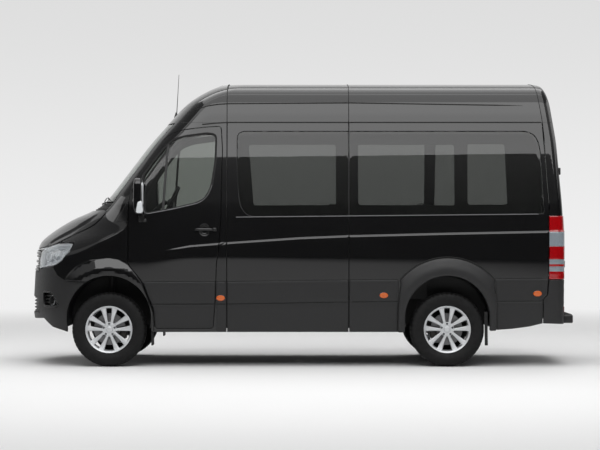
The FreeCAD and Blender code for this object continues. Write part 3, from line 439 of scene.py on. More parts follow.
dishX, dishZ, dishHalfX, dishHalfZ = -0.903, 1.316, 0.052, 0.060
# heights of the relief, and how far the ridge fades below and above its edge
reliefForm = {"ridge": 0.0050, "dish": 0.022, "hood": 0.016, "fadeBelow": 0.16, "fadeAbove": 0.010,
              "hoodAlong": [-2.62, -2.30, -1.86], "hoodHalf": [0.60, 0.66, 0.70]}


def relief(x, y, z):
    # what the side stands proud by: a ridge whose crisp upper edge is the belt crease, a shallow
    # tuck above it, a dish behind each handle, and the bonnet's raised middle
    line = np.interp(x, crease[:, 0], crease[:, 1])
    below = line - z
    fade = np.where(below > 0, reliefForm["fadeBelow"], reliefForm["fadeAbove"])
    ridge = reliefForm["ridge"] * np.exp(-(below / fade) ** 2)
    ridge = ridge * smooth(x, -1.50, -1.00) * (1 - smooth(z, 1.40, 1.45))
    dish = np.hypot((x - dishX) / dishHalfX, (z - dishZ) / dishHalfZ)
    dish = -reliefForm["dish"] * (1 - smooth(dish, 0.55, 1.0)) * (x < -0.5)
    hoodEdge = np.interp(x, reliefForm["hoodAlong"], reliefForm["hoodHalf"])
    hood = reliefForm["hood"] * (1 - smooth(np.abs(y), hoodEdge - 0.035, hoodEdge + 0.01)) * smooth(z, 1.12,
                                                                                                    1.2)
    hood = hood * (1 - smooth(z, 1.40, 1.50)) * (x < -1.75)
    return ridge + dish + hood


def dressed(x, y, z, lift):
    # moves body points out by the relief and the lift and turns their normals to match
    normal = fieldNormal(x, y, z)
    d = 0.002
    height = relief(x, y, z)
    slopeX = (relief(x + d, y, z) - relief(x - d, y, z)) / (2 * d)
    slopeY = (relief(x, y + d, z) - relief(x, y - d, z)) / (2 * d)
    slopeZ = (relief(x, y, z + d) - relief(x, y, z - d)) / (2 * d)
    slope = np.stack([slopeX, slopeY, slopeZ], -1)
    slope -= normal * (slope * normal).sum(-1, keepdims=True)
    return np.stack([x, y, z], -1) + normal * (height + lift)[..., None], unit(normal - slope)


def sideHalf(x, z):
    # half-width of the body at a place along it
    nose, reach, half, power, tail = planAt(z)
    t = np.clip((x - nose) / reach, 0, 1)
    ahead = half * np.sqrt(np.clip(1 - (1 - t) ** power, 0, 1))
    d = np.clip(x - (tail - tailRadius), 0, tailRadius)
    return ahead - tailRadius + np.sqrt(tailRadius ** 2 - d ** 2)


def onSide(sign, lift=0.0):
    # flat (along, up) laid on one side
    def surface(flat):
        x, z = flat[:, 0], flat[:, 1]
        return dressed(x, sign * sideHalf(x, z), z, np.full(len(x), lift))
    return surface


def onWrap(lift=0.0):
    # flat (round, up): round runs from the middle of the nose towards the left and right sides,
    # x = nose + reach (1 - cos(turn)^(2 / power)), y = half sin(turn)
    def surface(flat):
        w, z = flat[:, 0], flat[:, 1]
        nose, reach, half, power, tail = planAt(z)
        turn = np.clip(np.abs(w) / turnScale, 0, math.pi / 2)
        x = nose + reach * (1 - np.cos(turn) ** (2 / power)) + np.maximum(np.abs(w) - quarter, 0)
        y = -np.sign(w) * half * np.sin(turn)
        return dressed(x, y, z, np.full(len(x), lift))
    return surface


def onRear(lift=0.0):
    # flat (across, up): across runs over the rear face, round each corner's arc and on along the sides
    def surface(flat):
        r, z = flat[:, 0], flat[:, 1]
        nose, reach, half, power, tail = planAt(z)
        rest = np.abs(r) - (half - tailRadius)
        angle = np.clip(rest / tailRadius, 0, math.pi / 2)
        y = np.sign(r) * (np.minimum(np.abs(r), half - tailRadius) + tailRadius * np.sin(angle))
        x = tail - tailRadius + tailRadius * np.cos(angle) - np.maximum(rest - tailRadius * math.pi / 2, 0)
        return dressed(x, y, z, np.full(len(x), lift))
    return surface


def wrapOf(points):
    # (along, up) to (round, up) on the left
    points = np.asarray(points)
    nose, reach, half, power, tail = planAt(points[:, 1])
    t = (points[:, 0] - nose) / reach
    turn = np.arccos(np.clip(1 - t, 0, 1) ** (power / 2))
    return np.stack([turnScale * turn + np.maximum(t - 1, 0) * reach, points[:, 1]], 1)


def wrapOfHalf(points):
    # (half-width, up) to (round, up) on the left
    points = np.asarray(points)
    half = planAt(points[:, 1])[2]
    return np.stack([turnScale * np.arcsin(np.clip(points[:, 0] / half, 0, 1)), points[:, 1]], 1)


def rearOf(points):
    # (along, up) on a side to (across, up)
    points = np.asarray(points)
    nose, reach, half, power, tail = planAt(points[:, 1])
    along = (tail - tailRadius) - points[:, 0]
    turned = tailRadius * (math.pi / 2 - np.arcsin(np.clip(-along / tailRadius, 0, 1)))
    across = half - tailRadius + np.where(along > 0, tailRadius * math.pi / 2 + along, turned)
    return np.stack([across, points[:, 1]], 1)


def wrapLine(points):
    # a run of (along, up), kept straight by close points, to (round, up)
    return wrapOf(spaced(np.vstack([points, points[-1:]]), 0.02, False))


def mirror(points):
    # the outline on the other side, in reverse order so that it turns the same way
    points = np.asarray(points).copy()
    points[:, 0] *= -1
    return points[::-1]


def whole(leftPoints):
    # a left half from bottom middle round to top middle, and its mirror
    leftPoints = np.asarray(leftPoints)
    return np.vstack([leftPoints, mirror(leftPoints)])


def nearAxle(table):
    # millimetres behind the front axle and above the ground, to metres
    return np.asarray(table, float) / 1000 + (frontAxle, 0)


def arc(centreX, centreZ, radius, start, stop, count=24):
    # centre + radius (cos a, sin a), a from start to stop in degrees
    a = np.radians(np.linspace(start, stop, count))
    return np.stack([centreX + radius * np.cos(a), centreZ + radius * np.sin(a)], 1)


def around(count):
    # angles spread evenly over a full turn
    return np.linspace(0, 2 * math.pi, count, endpoint=False)


def ellipse(middle, halfAlong, halfUp, count):
    # middle + (halfAlong cos a, halfUp sin a)
    a = around(count)
    return np.stack([middle[0] + halfAlong * np.cos(a), middle[1] + halfUp * np.sin(a)], 1)


def cappedFaces(rows, columns):
    # the quads of a tube of rings, and a flat face over its first and last ring
    ends = [tuple(range(columns)), tuple(range((rows - 1) * columns, rows * columns))]
    return [tuple(f) for f in gridFaces(rows, columns, False, True)] + ends


def tube(name, path, radius, material, sides=10, closed=False, flatten=1.0, taper=None):
    # a ring of sides points carried along a path on a frame that keeps to the path's direction
    path = np.asarray(path, float)
    ahead = np.roll(path, -1, 0) if closed else np.vstack([path[1:], 2 * path[-1:] - path[-2:-1]])
    behind = np.roll(path, 1, 0) if closed else np.vstack([2 * path[:1] - path[1:2], path[:-1]])
    along = unit(ahead - behind)
    up = np.array([0, 0, 1.0]) if np.abs(along[:, 2]).max() < 0.95 else np.array([0.37, 0.91, 0.17])
    across = unit(np.cross(along, up))
    over = np.cross(across, along)
    a = around(sides)[None, :, None]
    size = (np.full(len(path), radius) if taper is None else np.asarray(taper) * radius)[:, None, None]
    points = path[:, None] + size * (across[:, None] * np.cos(a) * flatten + over[:, None] * np.sin(a))
    faces = gridFaces(len(path), sides, closed, True)
    points = points.reshape(-1, 3)
    faces = [tuple(f) for f in faces]
    if not closed:
        faces += [tuple(range(sides))[::-1], tuple(range(len(points) - sides, len(points)))]
    return cleaned(makeObject(name, points, faces, [material]))


def cleaned(thing):
    # faces of a closed piece turned outwards
    mesh = bmesh.new()
    mesh.from_mesh(thing.data)
    bmesh.ops.recalc_face_normals(mesh, faces=mesh.faces)
    mesh.to_mesh(thing.data)
    mesh.free()
    return thing


def turned(name, profile, centre, material, count=64, axis="y", sharp=35):
    # a closed profile of (radius, offset) turned about an axis through the centre
    profile = np.asarray(profile, float)
    a = around(count)[:, None]
    r, o = profile[None, :, 0], profile[None, :, 1]
    one = np.ones_like(a)
    if axis == "y":
        points = np.stack([r * np.cos(a), o * one, r * np.sin(a)], -1)
    elif axis == "x":
        points = np.stack([o * one, r * np.cos(a), r * np.sin(a)], -1)
    else:
        points = np.stack([r * np.cos(a), r * np.sin(a), o * one], -1)
    points = points.reshape(-1, 3) + np.asarray(centre)
    faces = gridFaces(count, len(profile), True, True)
    points, _, triangles = weld(points, points, faces)
    return cleaned(makeObject(name, points, triangles, [material], sharp=sharp))


def roundedBox(name, start, end, bevel, material, segments=3):
    # a block between two opposite corners, with every edge rounded
    low, high = np.minimum(start, end), np.maximum(start, end)
    corners = np.array([[x, y, z] for x in (0, 1) for y in (0, 1) for z in (0, 1)])
    points = low + corners * (high - low)
    faces = [(0, 1, 3, 2), (4, 6, 7, 5), (0, 4, 5, 1), (2, 3, 7, 6), (0, 2, 6, 4), (1, 5, 7, 3)]
    thing = makeObject(name, points, faces, [material])
    change = thing.modifiers.new("rounding", "BEVEL")
    change.width, change.segments = bevel, segments
    return applied(thing)


def applied(thing):
    # modifiers worked into the mesh
    bpy.context.view_layer.update()
    seen = thing.evaluated_get(bpy.context.evaluated_depsgraph_get())
    mesh = bpy.data.meshes.new_from_object(seen)
    thing.modifiers.clear()
    thing.data = mesh
    return thing


def joined(name, things):
    # several pieces made one mesh
    points, faces, slots, materials, start = [], [], [], [], 0
    for thing in things:
        co = np.empty(len(thing.data.vertices) * 3)
        thing.data.vertices.foreach_get("co", co)
        points.append(co.reshape(-1, 3))
        local = []
        for material in thing.data.materials:
            if material not in materials:
                materials.append(material)
            local.append(materials.index(material))
        for polygon in thing.data.polygons:
            faces.append(tuple(v + start for v in polygon.vertices))
            slots.append(local[polygon.material_index] if local else 0)
        start += len(thing.data.vertices)
        bpy.data.objects.remove(thing)
    return makeObject(name, np.vstack(points), faces, materials, slots)


def fit(thing, body, slot, *replaced):
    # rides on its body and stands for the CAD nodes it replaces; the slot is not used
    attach(thing, body)
    if replaced:
        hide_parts(*replaced)
    return thing


sides = {"left": -1, "right": 1}


# nose: bumper, grille, lamps, bonnet

archForm = {"radius": 0.407, "spring": 0.470}
bumperForm = {
    "foot": [(-657, 455), (-618, 420), (-561, 376), (-446, 345), (-408, 333)],
    "top": [(-320, 817), (-432, 828), (-500, 872), (-536, 932), (-560, 955), (-584, 960), (-699, 932)],
    "fog": [(-665, 722), (-560, 716), (-492, 598), (-512, 566), (-655, 572)],
    "grilleHalf": 0.565, "grilleFoot": 0.905,
}
archR, archZ = archForm["radius"], archForm["spring"]


def archSide(axle, start, stop, count=22, radius=archR):
    # part of the wheel arch, from 0 degrees at its rear foot to 180 at its front foot
    return arc(axle, archZ, radius, start, stop, count)


bumperLeft = np.vstack([
    [(0.0, 0.440), (0.30, 0.440)], wrapOf(nearAxle(bumperForm["foot"])),
    wrapOf(archSide(frontAxle, 180, 121.5)), wrapOf(rounded(nearAxle(bumperForm["top"]), 0.02, 5, False)),
    wrapOfHalf([(bumperForm["grilleHalf"], 0.932), (bumperForm["grilleHalf"], bumperForm["grilleFoot"])]),
    [(0.0, bumperForm["grilleFoot"])]])
fogHole = wrapOf(rounded(nearAxle(bumperForm["fog"]), 0.03))
lowGrille = rounded([(-0.58, 0.505), (0.58, 0.505), (0.50, 0.655), (-0.50, 0.655)], 0.04)
bumper = panel("bumperSkin", whole(bumperLeft), [fogHole, mirror(fogHole), lowGrille], onWrap(-0.002), 0.022,
               [claddingPlastic, mouldedPlastic], 0.035, 0.006)
fit(bumper, "body", "cladding", "front_bumper")
print("stage: bumper skin")


def louvres(name, outline, surface, pitch, width, material, thick=0.012, roll=0.004):
    # level slats clipped by an outline: each slat runs between the outline's two sides at its height
    loop = counterClockwise(np.asarray(outline))
    low, high = loop[:, 1].min(), loop[:, 1].max()
    count = max(1, int((high - low - width) / pitch))
    parts = []
    for k in range(count + 1):
        z = low + width + (high - low - 2 * width) * k / max(count, 1)
        after = np.roll(loop, -1, 0)
        crossing = (loop[:, 1] > z) != (after[:, 1] > z)
        at = loop[crossing, 0] + (z - loop[crossing, 1]) * (after[crossing, 0] - loop[crossing, 0]) / (
            after[crossing, 1] - loop[crossing, 1])
        if len(at) >= 2 and at.max() - at.min() > 4 * width:
            slat = rounded([(at.min(), z - width / 2), (at.max(), z - width / 2), (at.max(), z + width / 2),
                            (at.min(), z + width / 2)], width * 0.3, 3)
            parts.append(panel(name, slat, [], surface, thick, [material], width * 0.9, roll, 0.03))
    return joined(name, parts)


for side, sign in sides.items():
    hole = fogHole if sign < 0 else mirror(fogHole)
    centre = hole.mean(0) + (-0.012 * sign, -0.002)
    disc = ellipse(centre, 0.042, 0.045, 24)
    pocket = panel(f"fogPocket_{side}", grown(hole, 0.012), [], onWrap(-0.045), 0.006,
                   [mouldedPlastic], 0.03, 0.0)
    slats = louvres(f"fogSlats_{side}", hole, onWrap(-0.024), 0.034, 0.012, mouldedPlastic)
    rim = panel(f"fogRim_{side}", grown(hole, 0.004), [grown(hole, -0.014)], onWrap(0.003), 0.03,
                [glossPlastic], 0.02, 0.005)
    # the fog lens is dark gloss plastic rather than clear: painted shade for the dark lamp recess
    lens = panel(f"fogLens_{side}", disc, [], onWrap(-0.012), 0.008, [glossPlastic], 0.012, 0.003, 0.008)
    bowl = panel(f"fogBowl_{side}", grown(disc, 0.006), [], onWrap(-0.022), 0.02, [chromedZinc], 0.015, 0.002,
                 0.01)
    fit(joined(f"fogLamp_{side}", [pocket, slats, rim, lens, bowl]), "body", "black_plastic")
lowPocket = panel("lowPocket", grown(lowGrille, 0.02), [], onWrap(-0.028), 0.006, [mouldedPlastic], 0.06, 0.0,
                  0.03)
lowSlats = louvres("lowSlats", lowGrille, onWrap(-0.012), 0.03, 0.009, mouldedPlastic, 0.010)
fit(joined("lowGrille", [lowPocket, lowSlats]), "body", "black_plastic")

lampForm = {
    "foot": [(-699, 937), (-584, 966), (-540, 972), (-505, 988), (-455, 1024)],
    "tip": [(-378, 1110), (-341, 1184), (-400, 1191), (-524, 1180), (-618, 1146), (-760, 1121)],
    # reflector bowls, from the nose back: along and up from the lamp's middle, and radius
    "rings": [(-0.115, -0.02, 0.058), (0.01, 0.0, 0.050), (0.115, 0.045, 0.034)],
}
lampLeft = np.vstack([
    wrapOfHalf([(0.572, 1.108), (0.570, 0.938)]),
    wrapOf(rounded(nearAxle(lampForm["foot"] + lampForm["tip"]), 0.03, 5, False))])
lampLeft = rounded(lampLeft, 0.006, 3)
for side, sign in sides.items():
    outline = lampLeft if sign < 0 else mirror(lampLeft)
    centre = outline.mean(0)
    lens = panel(f"lampLens_{side}", outline, [], onWrap(0.001), 0.005, [lampCover], 0.035, 0.004, 0.02)
    bezel = panel(f"lampBezel_{side}", grown(outline, -0.002), [grown(outline, -0.020)], onWrap(-0.010), 0.05,
                  [brightReflector], 0.03, 0.004, 0.02)
    back = panel(f"lampBack_{side}", grown(outline, -0.006), [], onWrap(-0.062), 0.006, [brightReflector],
                 0.03, 0.0)
    parts = [lens, bezel, back]
    for along, up, radius in lampForm["rings"]:
        middle = centre + (along * -sign, up)
        ring = ellipse(middle, radius, radius, 36)
        parts.append(panel("lampRing", ring, [middle + (ring - middle) * 0.86], onWrap(-0.024), 0.036,
                           [brightReflector], 0.02, 0.004, 0.008))
        parts.append(panel("lampDome", middle + (ring - middle) * 0.84, [], onWrap(-0.040), 0.012,
                           [clearLens], 0.012, 0.006, 0.008))
    strip = grown(outline, -0.024)
    parts.append(panel("lampStrip", strip, [grown(strip, -0.012)], onWrap(-0.034), 0.014, [clearLens], 0.03,
                       0.003, 0.015))
    fit(joined(f"headlamp_{side}", parts), "body", "headlamp_lens", *(["headlamps"] if sign < 0 else []))
print("stage: lamps")

grilleLeft = np.vstack([[(0.0, 0.909)], wrapOfHalf([(0.560, 0.909), (0.562, 1.098)]), [(0.0, 1.103)]])
grilleOuter = rounded(whole(grilleLeft), 0.02)
frameRim = panel("grilleRim", grilleOuter, [grown(grilleOuter, -0.022)], onWrap(0.0), 0.045, [glossPlastic],
                 0.03, 0.006, 0.02)
grilleBack = panel("grilleBack", grown(grilleOuter, -0.004), [], onWrap(-0.030), 0.006, [mouldedPlastic],
                   0.06, 0.0, 0.03)
grilleSlats = louvres("grilleSlats", grown(grilleOuter, -0.02), onWrap(-0.006), 0.046, 0.022, glossPlastic,
                      0.022, 0.006)
grilleMesh = louvres("grilleMesh", grown(grilleOuter, -0.02), onWrap(-0.020), 0.016, 0.004, mouldedPlastic,
                     0.006, 0.001)
fit(joined("grilleBars", [frameRim, grilleBack, grilleSlats, grilleMesh]), "body", "black_plastic", "grille")

hoodForm = {"edge": [(-940, 1106), (-760, 1127), (-618, 1152), (-524, 1188), (-366, 1265), (-159, 1364),
                     (-60, 1466)],
            "rear": 1.504, "corner": (-44, 1492)}
hoodSide = rounded(nearAxle(hoodForm["edge"]), 0.06, 5, False)
hoodLeft = np.vstack([[(0.0, 1.110)], wrapOfHalf([(0.45, 1.109), (0.60, 1.109)]), wrapOf(hoodSide),
                      wrapOf(nearAxle([hoodForm["corner"]])), wrapOf(nearAxle([(-62, 1504)])),
                      [(0.0, 1.504)]])
hood = panel("bonnetSkin", whole(hoodLeft), [], onWrap(0.0), 0.024, paintedSheet, 0.03, 0.005, 0.012)
fit(hood, "hood", "body_paint", "hood")
print("stage: bonnet")


# wings, pillars and cab doors

doorForm = {
    "outline": [(188, 981), (188, 1520), (200, 1640), (256, 1813), (388, 2007), (515, 2181), (587, 2239),
                (708, 2277), (906, 2301), (1074, 2313), (1088, 2093), (1074, 1409), (1057, 1164), (1032, 993),
                (1021, 627), (1000, 368), (440, 368), (428, 552), (378, 676), (323, 815)],
    "window": [(311, 1828), (420, 1989), (532, 2125), (588, 2181), (707, 2220), (947, 2253), (1027, 2237),
               (1035, 2173), (1028, 1972), (991, 1733), (943, 1630), (871, 1573), (633, 1517), (338, 1462)],
    "divider": [(564, 2140), (549, 1930), (534, 1710), (518, 1480)],
    "gap": 0.0035,
}
gap = doorForm["gap"]
doorOutline = rounded(nearAxle(doorForm["outline"]), 0.035)
windowOutline = rounded(nearAxle(doorForm["window"]), 0.050)

quarterLeft = np.vstack([
    wrapOf(nearAxle([(-216, 819), (-320, 821), (-432, 832), (-503, 875), (-540, 935), (-548, 966),
                     (-503, 984), (-452, 1020), (-374, 1106), (-334, 1186), (-344, 1197), (-400, 1198),
                     (-470, 1200), (-366, 1258), (-154, 1357), (-52, 1461), (-38, 1492), (-42, 1505)])),
    wrapOfHalf(spaced([(0.833, 1.600), (0.752, 2.167), (0.730, 2.343), (0.729, 2.350)], 0.02, False)),
    wrapLine([(-1.20, 2.350), (-0.90, 2.350), (-0.693, 2.350), (-0.693, 0.332), (frontAxle + archR, 0.332)]),
    wrapOf(archSide(frontAxle, 0, 120.5, 40))])
doorHole = wrapOf(spaced(grown(doorOutline, gap), 0.015))
for side, sign in sides.items():
    outline, hole = (quarterLeft, doorHole) if sign < 0 else (mirror(quarterLeft), mirror(doorHole))
    wing = panel(f"wing_{side}", spaced(outline, 0.03), [hole], onWrap(0.0), 0.045, paintedSheet, 0.04, 0.003)
    fit(wing, "body", "body_paint", *(["fenders", "cab_frame"] if sign < 0 else []))
print("stage: wings")

# rows of points laid into the sheets along the belt crease and round the dish behind each handle
xs = np.arange(-1.62, 2.5, 0.02)
creaseRows = np.concatenate([np.stack([xs, np.interp(xs, crease[:, 0], crease[:, 1]) + up], 1)
                             for up in (0.034, 0.020, 0.010, 0.003, -0.008, -0.03)])
dishRows = np.concatenate([ellipse((dishX, dishZ), dishHalfX * f, dishHalfZ * f, 28)
                           for f in (1.05, 0.92, 0.78, 0.62, 0.4)])

for side, sign in sides.items():
    body = f"door_{side}"
    skinPiece = panel(f"doorSkin_{side}", grown(doorOutline, -gap * 0.2), [windowOutline], onSide(sign),
                      0.045, paintedSheet, 0.04, 0.004, 0.012,
                      np.vstack([creaseRows[creaseRows[:, 0] < -0.70], dishRows]))
    fit(skinPiece, body, "body_paint", f"door_{side}")
    seal = panel(f"doorSeal_{side}", grown(windowOutline, 0.004), [grown(windowOutline, -0.016)],
                 onSide(sign, -0.004), 0.030, [rubberAndPaintedShade], 0.03, 0.004)
    pane = panel(f"doorPane_{side}", grown(windowOutline, -0.008), [], onSide(sign, -0.011), 0.004,
                 [cabGlass], 0.05, 0.0)
    fit(pane, body, "clear_glass", f"door_glass_{side}")
    line = rounded(nearAxle(doorForm["divider"]), 0.05, 5, False)
    bar = np.vstack([line + (-0.011, 0), (line + (0.011, 0))[::-1]])
    bar = panel(f"doorBar_{side}", bar, [], onSide(sign, -0.003), 0.026, [mouldedPlastic], 0.02, 0.003)
    fit(joined(f"doorTrim_{side}", [seal, bar]), body, "black_plastic")
    # handle: a bar across the dish with a lock barrel behind it
    y = sign * (float(sideHalf(np.array([-0.90]), np.array([1.318]))[0]) + 0.010)
    grip = tube("grip", [(-0.998, y - sign * 0.012, 1.318), (-0.985, y + sign * 0.010, 1.318),
                         (-0.95, y + sign * 0.018, 1.319), (-0.90, y + sign * 0.020, 1.319),
                         (-0.85, y + sign * 0.018, 1.318), (-0.826, y + sign * 0.008, 1.317),
                         (-0.818, y - sign * 0.012, 1.317)],
                0.013, blackPaint, 14, False, 0.8, [0.7, 0.95, 1, 1, 1, 0.95, 0.7])
    cap = roundedBox("cap", (-0.822, y - sign * 0.012, 1.300), (-0.786, y + sign * 0.016, 1.334), 0.007,
                     mouldedPlastic)
    lock = turned("lock", [(0.0, -0.002), (0.008, -0.002), (0.009, 0.003), (0.007, 0.005),
                           (0.0, 0.005)][::-1],
                  (-0.803, y + sign * 0.015, 1.318), chromedZinc, 20)
    fit(joined(f"doorHandle_{side}", [grip, cap, lock]), body, "body_paint")
print("stage: cab doors")

# triangle of smooth plastic ahead of each door
for side, sign in sides.items():
    outline = rounded(nearAxle([(62, 1388), (183, 1398), (183, 1592)]), 0.008)
    fit(panel(f"sail_{side}", outline, [], onSide(sign, 0.003), 0.006, [glossPlastic], 0.03, 0.003),
        "body", "black_plastic")

# sides

sideForm = {
    "front": -0.687, "split": 0.483, "foot": 0.332, "roofLine": 2.350,
    "rearEdge": [(2.345, 0.415), (2.345, 0.648), (2.386, 0.686), (2.397, 0.838), (2.399, 1.452),
                 (2.402, 1.476), (2.382, 1.80), (2.366, 2.08), (2.346, 2.344)],
    "bandTop": 2.264, "bandFoot": [(-0.418, 1.442), (2.362, 1.470)],
    "bandFront": [(-0.418, 1.442), (-0.470, 1.450), (-0.520, 1.482), (-0.556, 1.545), (-0.575, 1.650),
                  (-0.588, 1.90), (-0.593, 2.10), (-0.593, 2.200), (-0.580, 2.245), (-0.530, 2.264)],
    "bandRear": [(2.180, 2.264), (2.262, 2.240), (2.310, 2.165), (2.330, 2.03), (2.350, 1.60), (2.362, 1.500),
                 (2.345, 1.470)],
    "nearWindows": [[(-0.480, 2.140), (0.359, 2.140), (0.359, 1.556), (-0.432, 1.553)],
                    [(0.570, 2.140), (1.206, 2.140), (1.499, 2.140), (1.499, 1.553), (0.575, 1.556)],
                    [(1.614, 2.146), (1.985, 2.146), (2.008, 1.560), (1.624, 1.560)]],
    "farWindows": [[(-0.528, 2.215), (0.395, 2.215), (0.395, 1.560), (-0.480, 1.560)],
                   [(0.622, 2.215), (1.317, 2.215), (1.317, 1.560), (0.622, 1.560)],
                   [(1.432, 2.215), (1.650, 2.215), (1.650, 1.560), (1.425, 1.560)],
                   [(1.765, 2.215), (2.172, 2.215), (2.205, 1.560), (1.775, 1.560)]],
}
split, foot, roofLine, bandTop = (sideForm[key] for key in ("split", "foot", "roofLine", "bandTop"))
# edges of the two side sheets on either side of their seam
ahead, behind = split - 0.003, split + 0.003


def bandFootAt(x):
    # height of the straight line through the two ends of the glass band's foot
    (startX, startZ), (endX, endZ) = sideForm["bandFoot"]
    return startZ + (x - startX) * (endZ - startZ) / (endX - startX)


bandFront = rounded(sideForm["bandFront"], 0.05, 5, False)
bandRear = rounded(sideForm["bandRear"], 0.05, 5, False)
midOutline = np.vstack([[(sideForm["front"], foot), (ahead, foot), (ahead, bandFootAt(split))], bandFront,
                        [(ahead, bandTop), (ahead, roofLine), (sideForm["front"], roofLine)]])
slideOutline = midOutline.copy()
slideOutline[slideOutline[:, 1] == foot, 1] = 0.362
slideOutline[slideOutline[:, 1] == roofLine, 1] = 2.326
rearOutline = np.vstack([
    [(behind, foot), (rearAxle - archR, foot)], archSide(rearAxle, 180, 0, 40),
    [(rearAxle + archR, 0.350), (2.05, 0.362), (2.22, 0.385)], sideForm["rearEdge"],
    [(2.346, roofLine), (behind, roofLine), (behind, bandTop)], bandRear,
    [(behind, bandFootAt(split))]])
midBand = np.vstack([[(split - 0.002, bandFootAt(split))], bandFront, [(split - 0.002, bandTop)]])
rearBand = np.vstack([[(split + 0.002, bandTop)], bandRear, [(split + 0.002, bandFootAt(split))]])
for side, sign in sides.items():
    windows = sideForm["nearWindows"] if sign < 0 else sideForm["farWindows"]
    windows = [rounded(w, 0.026) for w in windows]
    first = panel(f"sideSkinFront_{side}", midOutline if sign < 0 else slideOutline, [], onSide(sign), 0.022,
                  paintedSheet, 0.045, 0.004, 0.015, creaseRows[creaseRows[:, 0] > -0.66])
    second = panel(f"sideSkinRear_{side}", rearOutline, [], onSide(sign), 0.022, paintedSheet,
                   0.045, 0.004, 0.015, creaseRows)
    fit(first, "body", "body_paint", *(["sliding_door"] if sign > 0 else []))
    fit(second, "body", "body_paint", *(["side_panels"] if sign < 0 else []))
    if sign > 0:
        front, rear = sideForm["front"], ahead
        rails = [panel("rail", [(front, low), (rear, low), (rear, high), (front, high)], [], onSide(sign),
                       0.022, [blackPaint], 0.03, 0.003) for low, high in ((foot, 0.357), (2.331, roofLine))]
        track = panel("track", [(split + 0.01, 1.315), (2.18, 1.328), (2.18, 1.356), (split + 0.01, 1.343)],
                      [], onSide(sign, 0.004), 0.012, [mouldedPlastic], 0.02, 0.003)
        fit(joined("slideRails", rails + [track]), "body", "body_paint")
    # the inner frame, with its foot lifted over the rear wheel
    outline = [(sideForm["front"] - 0.02, 0.66), (rearAxle - 0.42, 0.66), (rearAxle - 0.36, 0.86),
               (rearAxle, 0.90), (rearAxle + 0.36, 0.86), (rearAxle + 0.42, 0.66), (2.33, 0.66),
               (2.33, 2.335), (sideForm["front"] - 0.02, 2.335)]
    inner = panel(f"sideFrame_{side}", outline, windows, onSide(sign, -0.026), 0.026,
                  [mouldedPlastic, liningPlastic], 0.06, 0.004, 0.02)
    fit(inner, "body", "black_plastic")
    panes = [panel("pane", band, [], onSide(sign, -0.0015), 0.004, [privacyGlass], 0.05, 0.0015, 0.015)
             for band in (grown(midBand, -0.003), grown(rearBand, -0.003))]
    fit(joined(f"bandGlass_{side}", panes), "body", "tinted_glass", *(["side_glass"] if sign < 0 else []))
print("stage: sides")

# roof

roofTable = np.array(bodyForm["roof"])
length = np.concatenate([[0], np.cumsum(np.linalg.norm(np.diff(roofTable, axis=0), axis=1))])
share = np.linspace(0, 1, 400)
window = np.hanning(41) / np.hanning(41).sum()
roofRun = [np.convolve(np.pad(np.interp(share * length[-1], length, roofTable[:, k]), 20, "reflect",
                              reflect_type="odd"),
                       window, "valid") for k in (0, 1)]
roofRun[0][-1] = 0.0


def roofPoint(half, z, piece, t):
    # a plan loop at one height of the roof: a power turn round the brow, a straight side, a round
    # corner and the rear face
    nose, reach, _, power, tail = planAt(z)
    radius = np.minimum(tailRadius, 0.95 * half)
    start = nose + reach
    if piece == "brow":
        turn = t * math.pi / 2
        return nose + reach * (1 - np.cos(turn) ** (2 / power)), half * np.sin(turn)
    if piece == "side":
        return start + t * (tail - radius - start), half + 0 * t
    if piece == "corner":
        turn = t * math.pi / 2
        return tail - radius + radius * np.sin(turn), half - radius + radius * np.cos(turn)
    return tail + 0 * t, (half - radius) * (1 - t)


def vertexNormals(points, triangles):
    # area-weighted mean of the faces round each point
    cross = np.cross(points[triangles[:, 1]] - points[triangles[:, 0]],
                     points[triangles[:, 2]] - points[triangles[:, 0]])
    total = np.zeros_like(points)
    for k in range(3):
        np.add.at(total, triangles[:, k], cross)
    return unit(total)


def makeRoof():
    # plan loops at every height from the gutter to the crown, mirrored, welded and closed to a wall
    v = np.linspace(0, 1, 70)
    half, z = np.interp(v, share, roofRun[0]), np.interp(v, share, roofRun[1])
    half[-1] = 0.0
    rows = []
    for piece, count in (("brow", 40), ("side", 90), ("corner", 9), ("rear", 24)):
        t = np.linspace(0, 1, count)
        for value in (t if piece == "rear" else t[:-1]):
            x, y = roofPoint(half, z, piece, value)
            rows.append(np.stack([x + 0 * z, y + 0 * z, z], -1))
    grid = np.array(rows)
    right = grid.reshape(-1, 3)
    left = right * (1, -1, 1)
    faces = gridFaces(*grid.shape[:2])
    points = np.vstack([right, left])
    faces = np.vstack([faces, faces[:, ::-1] + len(right)])
    points, _, triangles = weld(points, points, faces)
    normals = vertexNormals(points, triangles)
    if normals[np.argmax(points[:, 2])][2] < 0:
        triangles, normals = triangles[:, ::-1], -normals
    low = points[:, 2] < 2.36
    normals[low] = fieldNormal(points[low, 0], points[low, 1], points[low, 2])
    return shell("roofSkin", points, normals, triangles, 0.035, 0.0, paintedSheet)


fit(makeRoof(), "body", "body_paint", "roof")


def roofHalf(x, z):
    # half-width of the roof at a place along it and a height
    nose, reach, _, power, tail = planAt(z)
    half = np.interp(z, roofRun[1], roofRun[0])
    t = np.clip((x - nose) / reach, 0, 1)
    return half * np.sqrt(np.clip(1 - (1 - t) ** power, 0, 1))
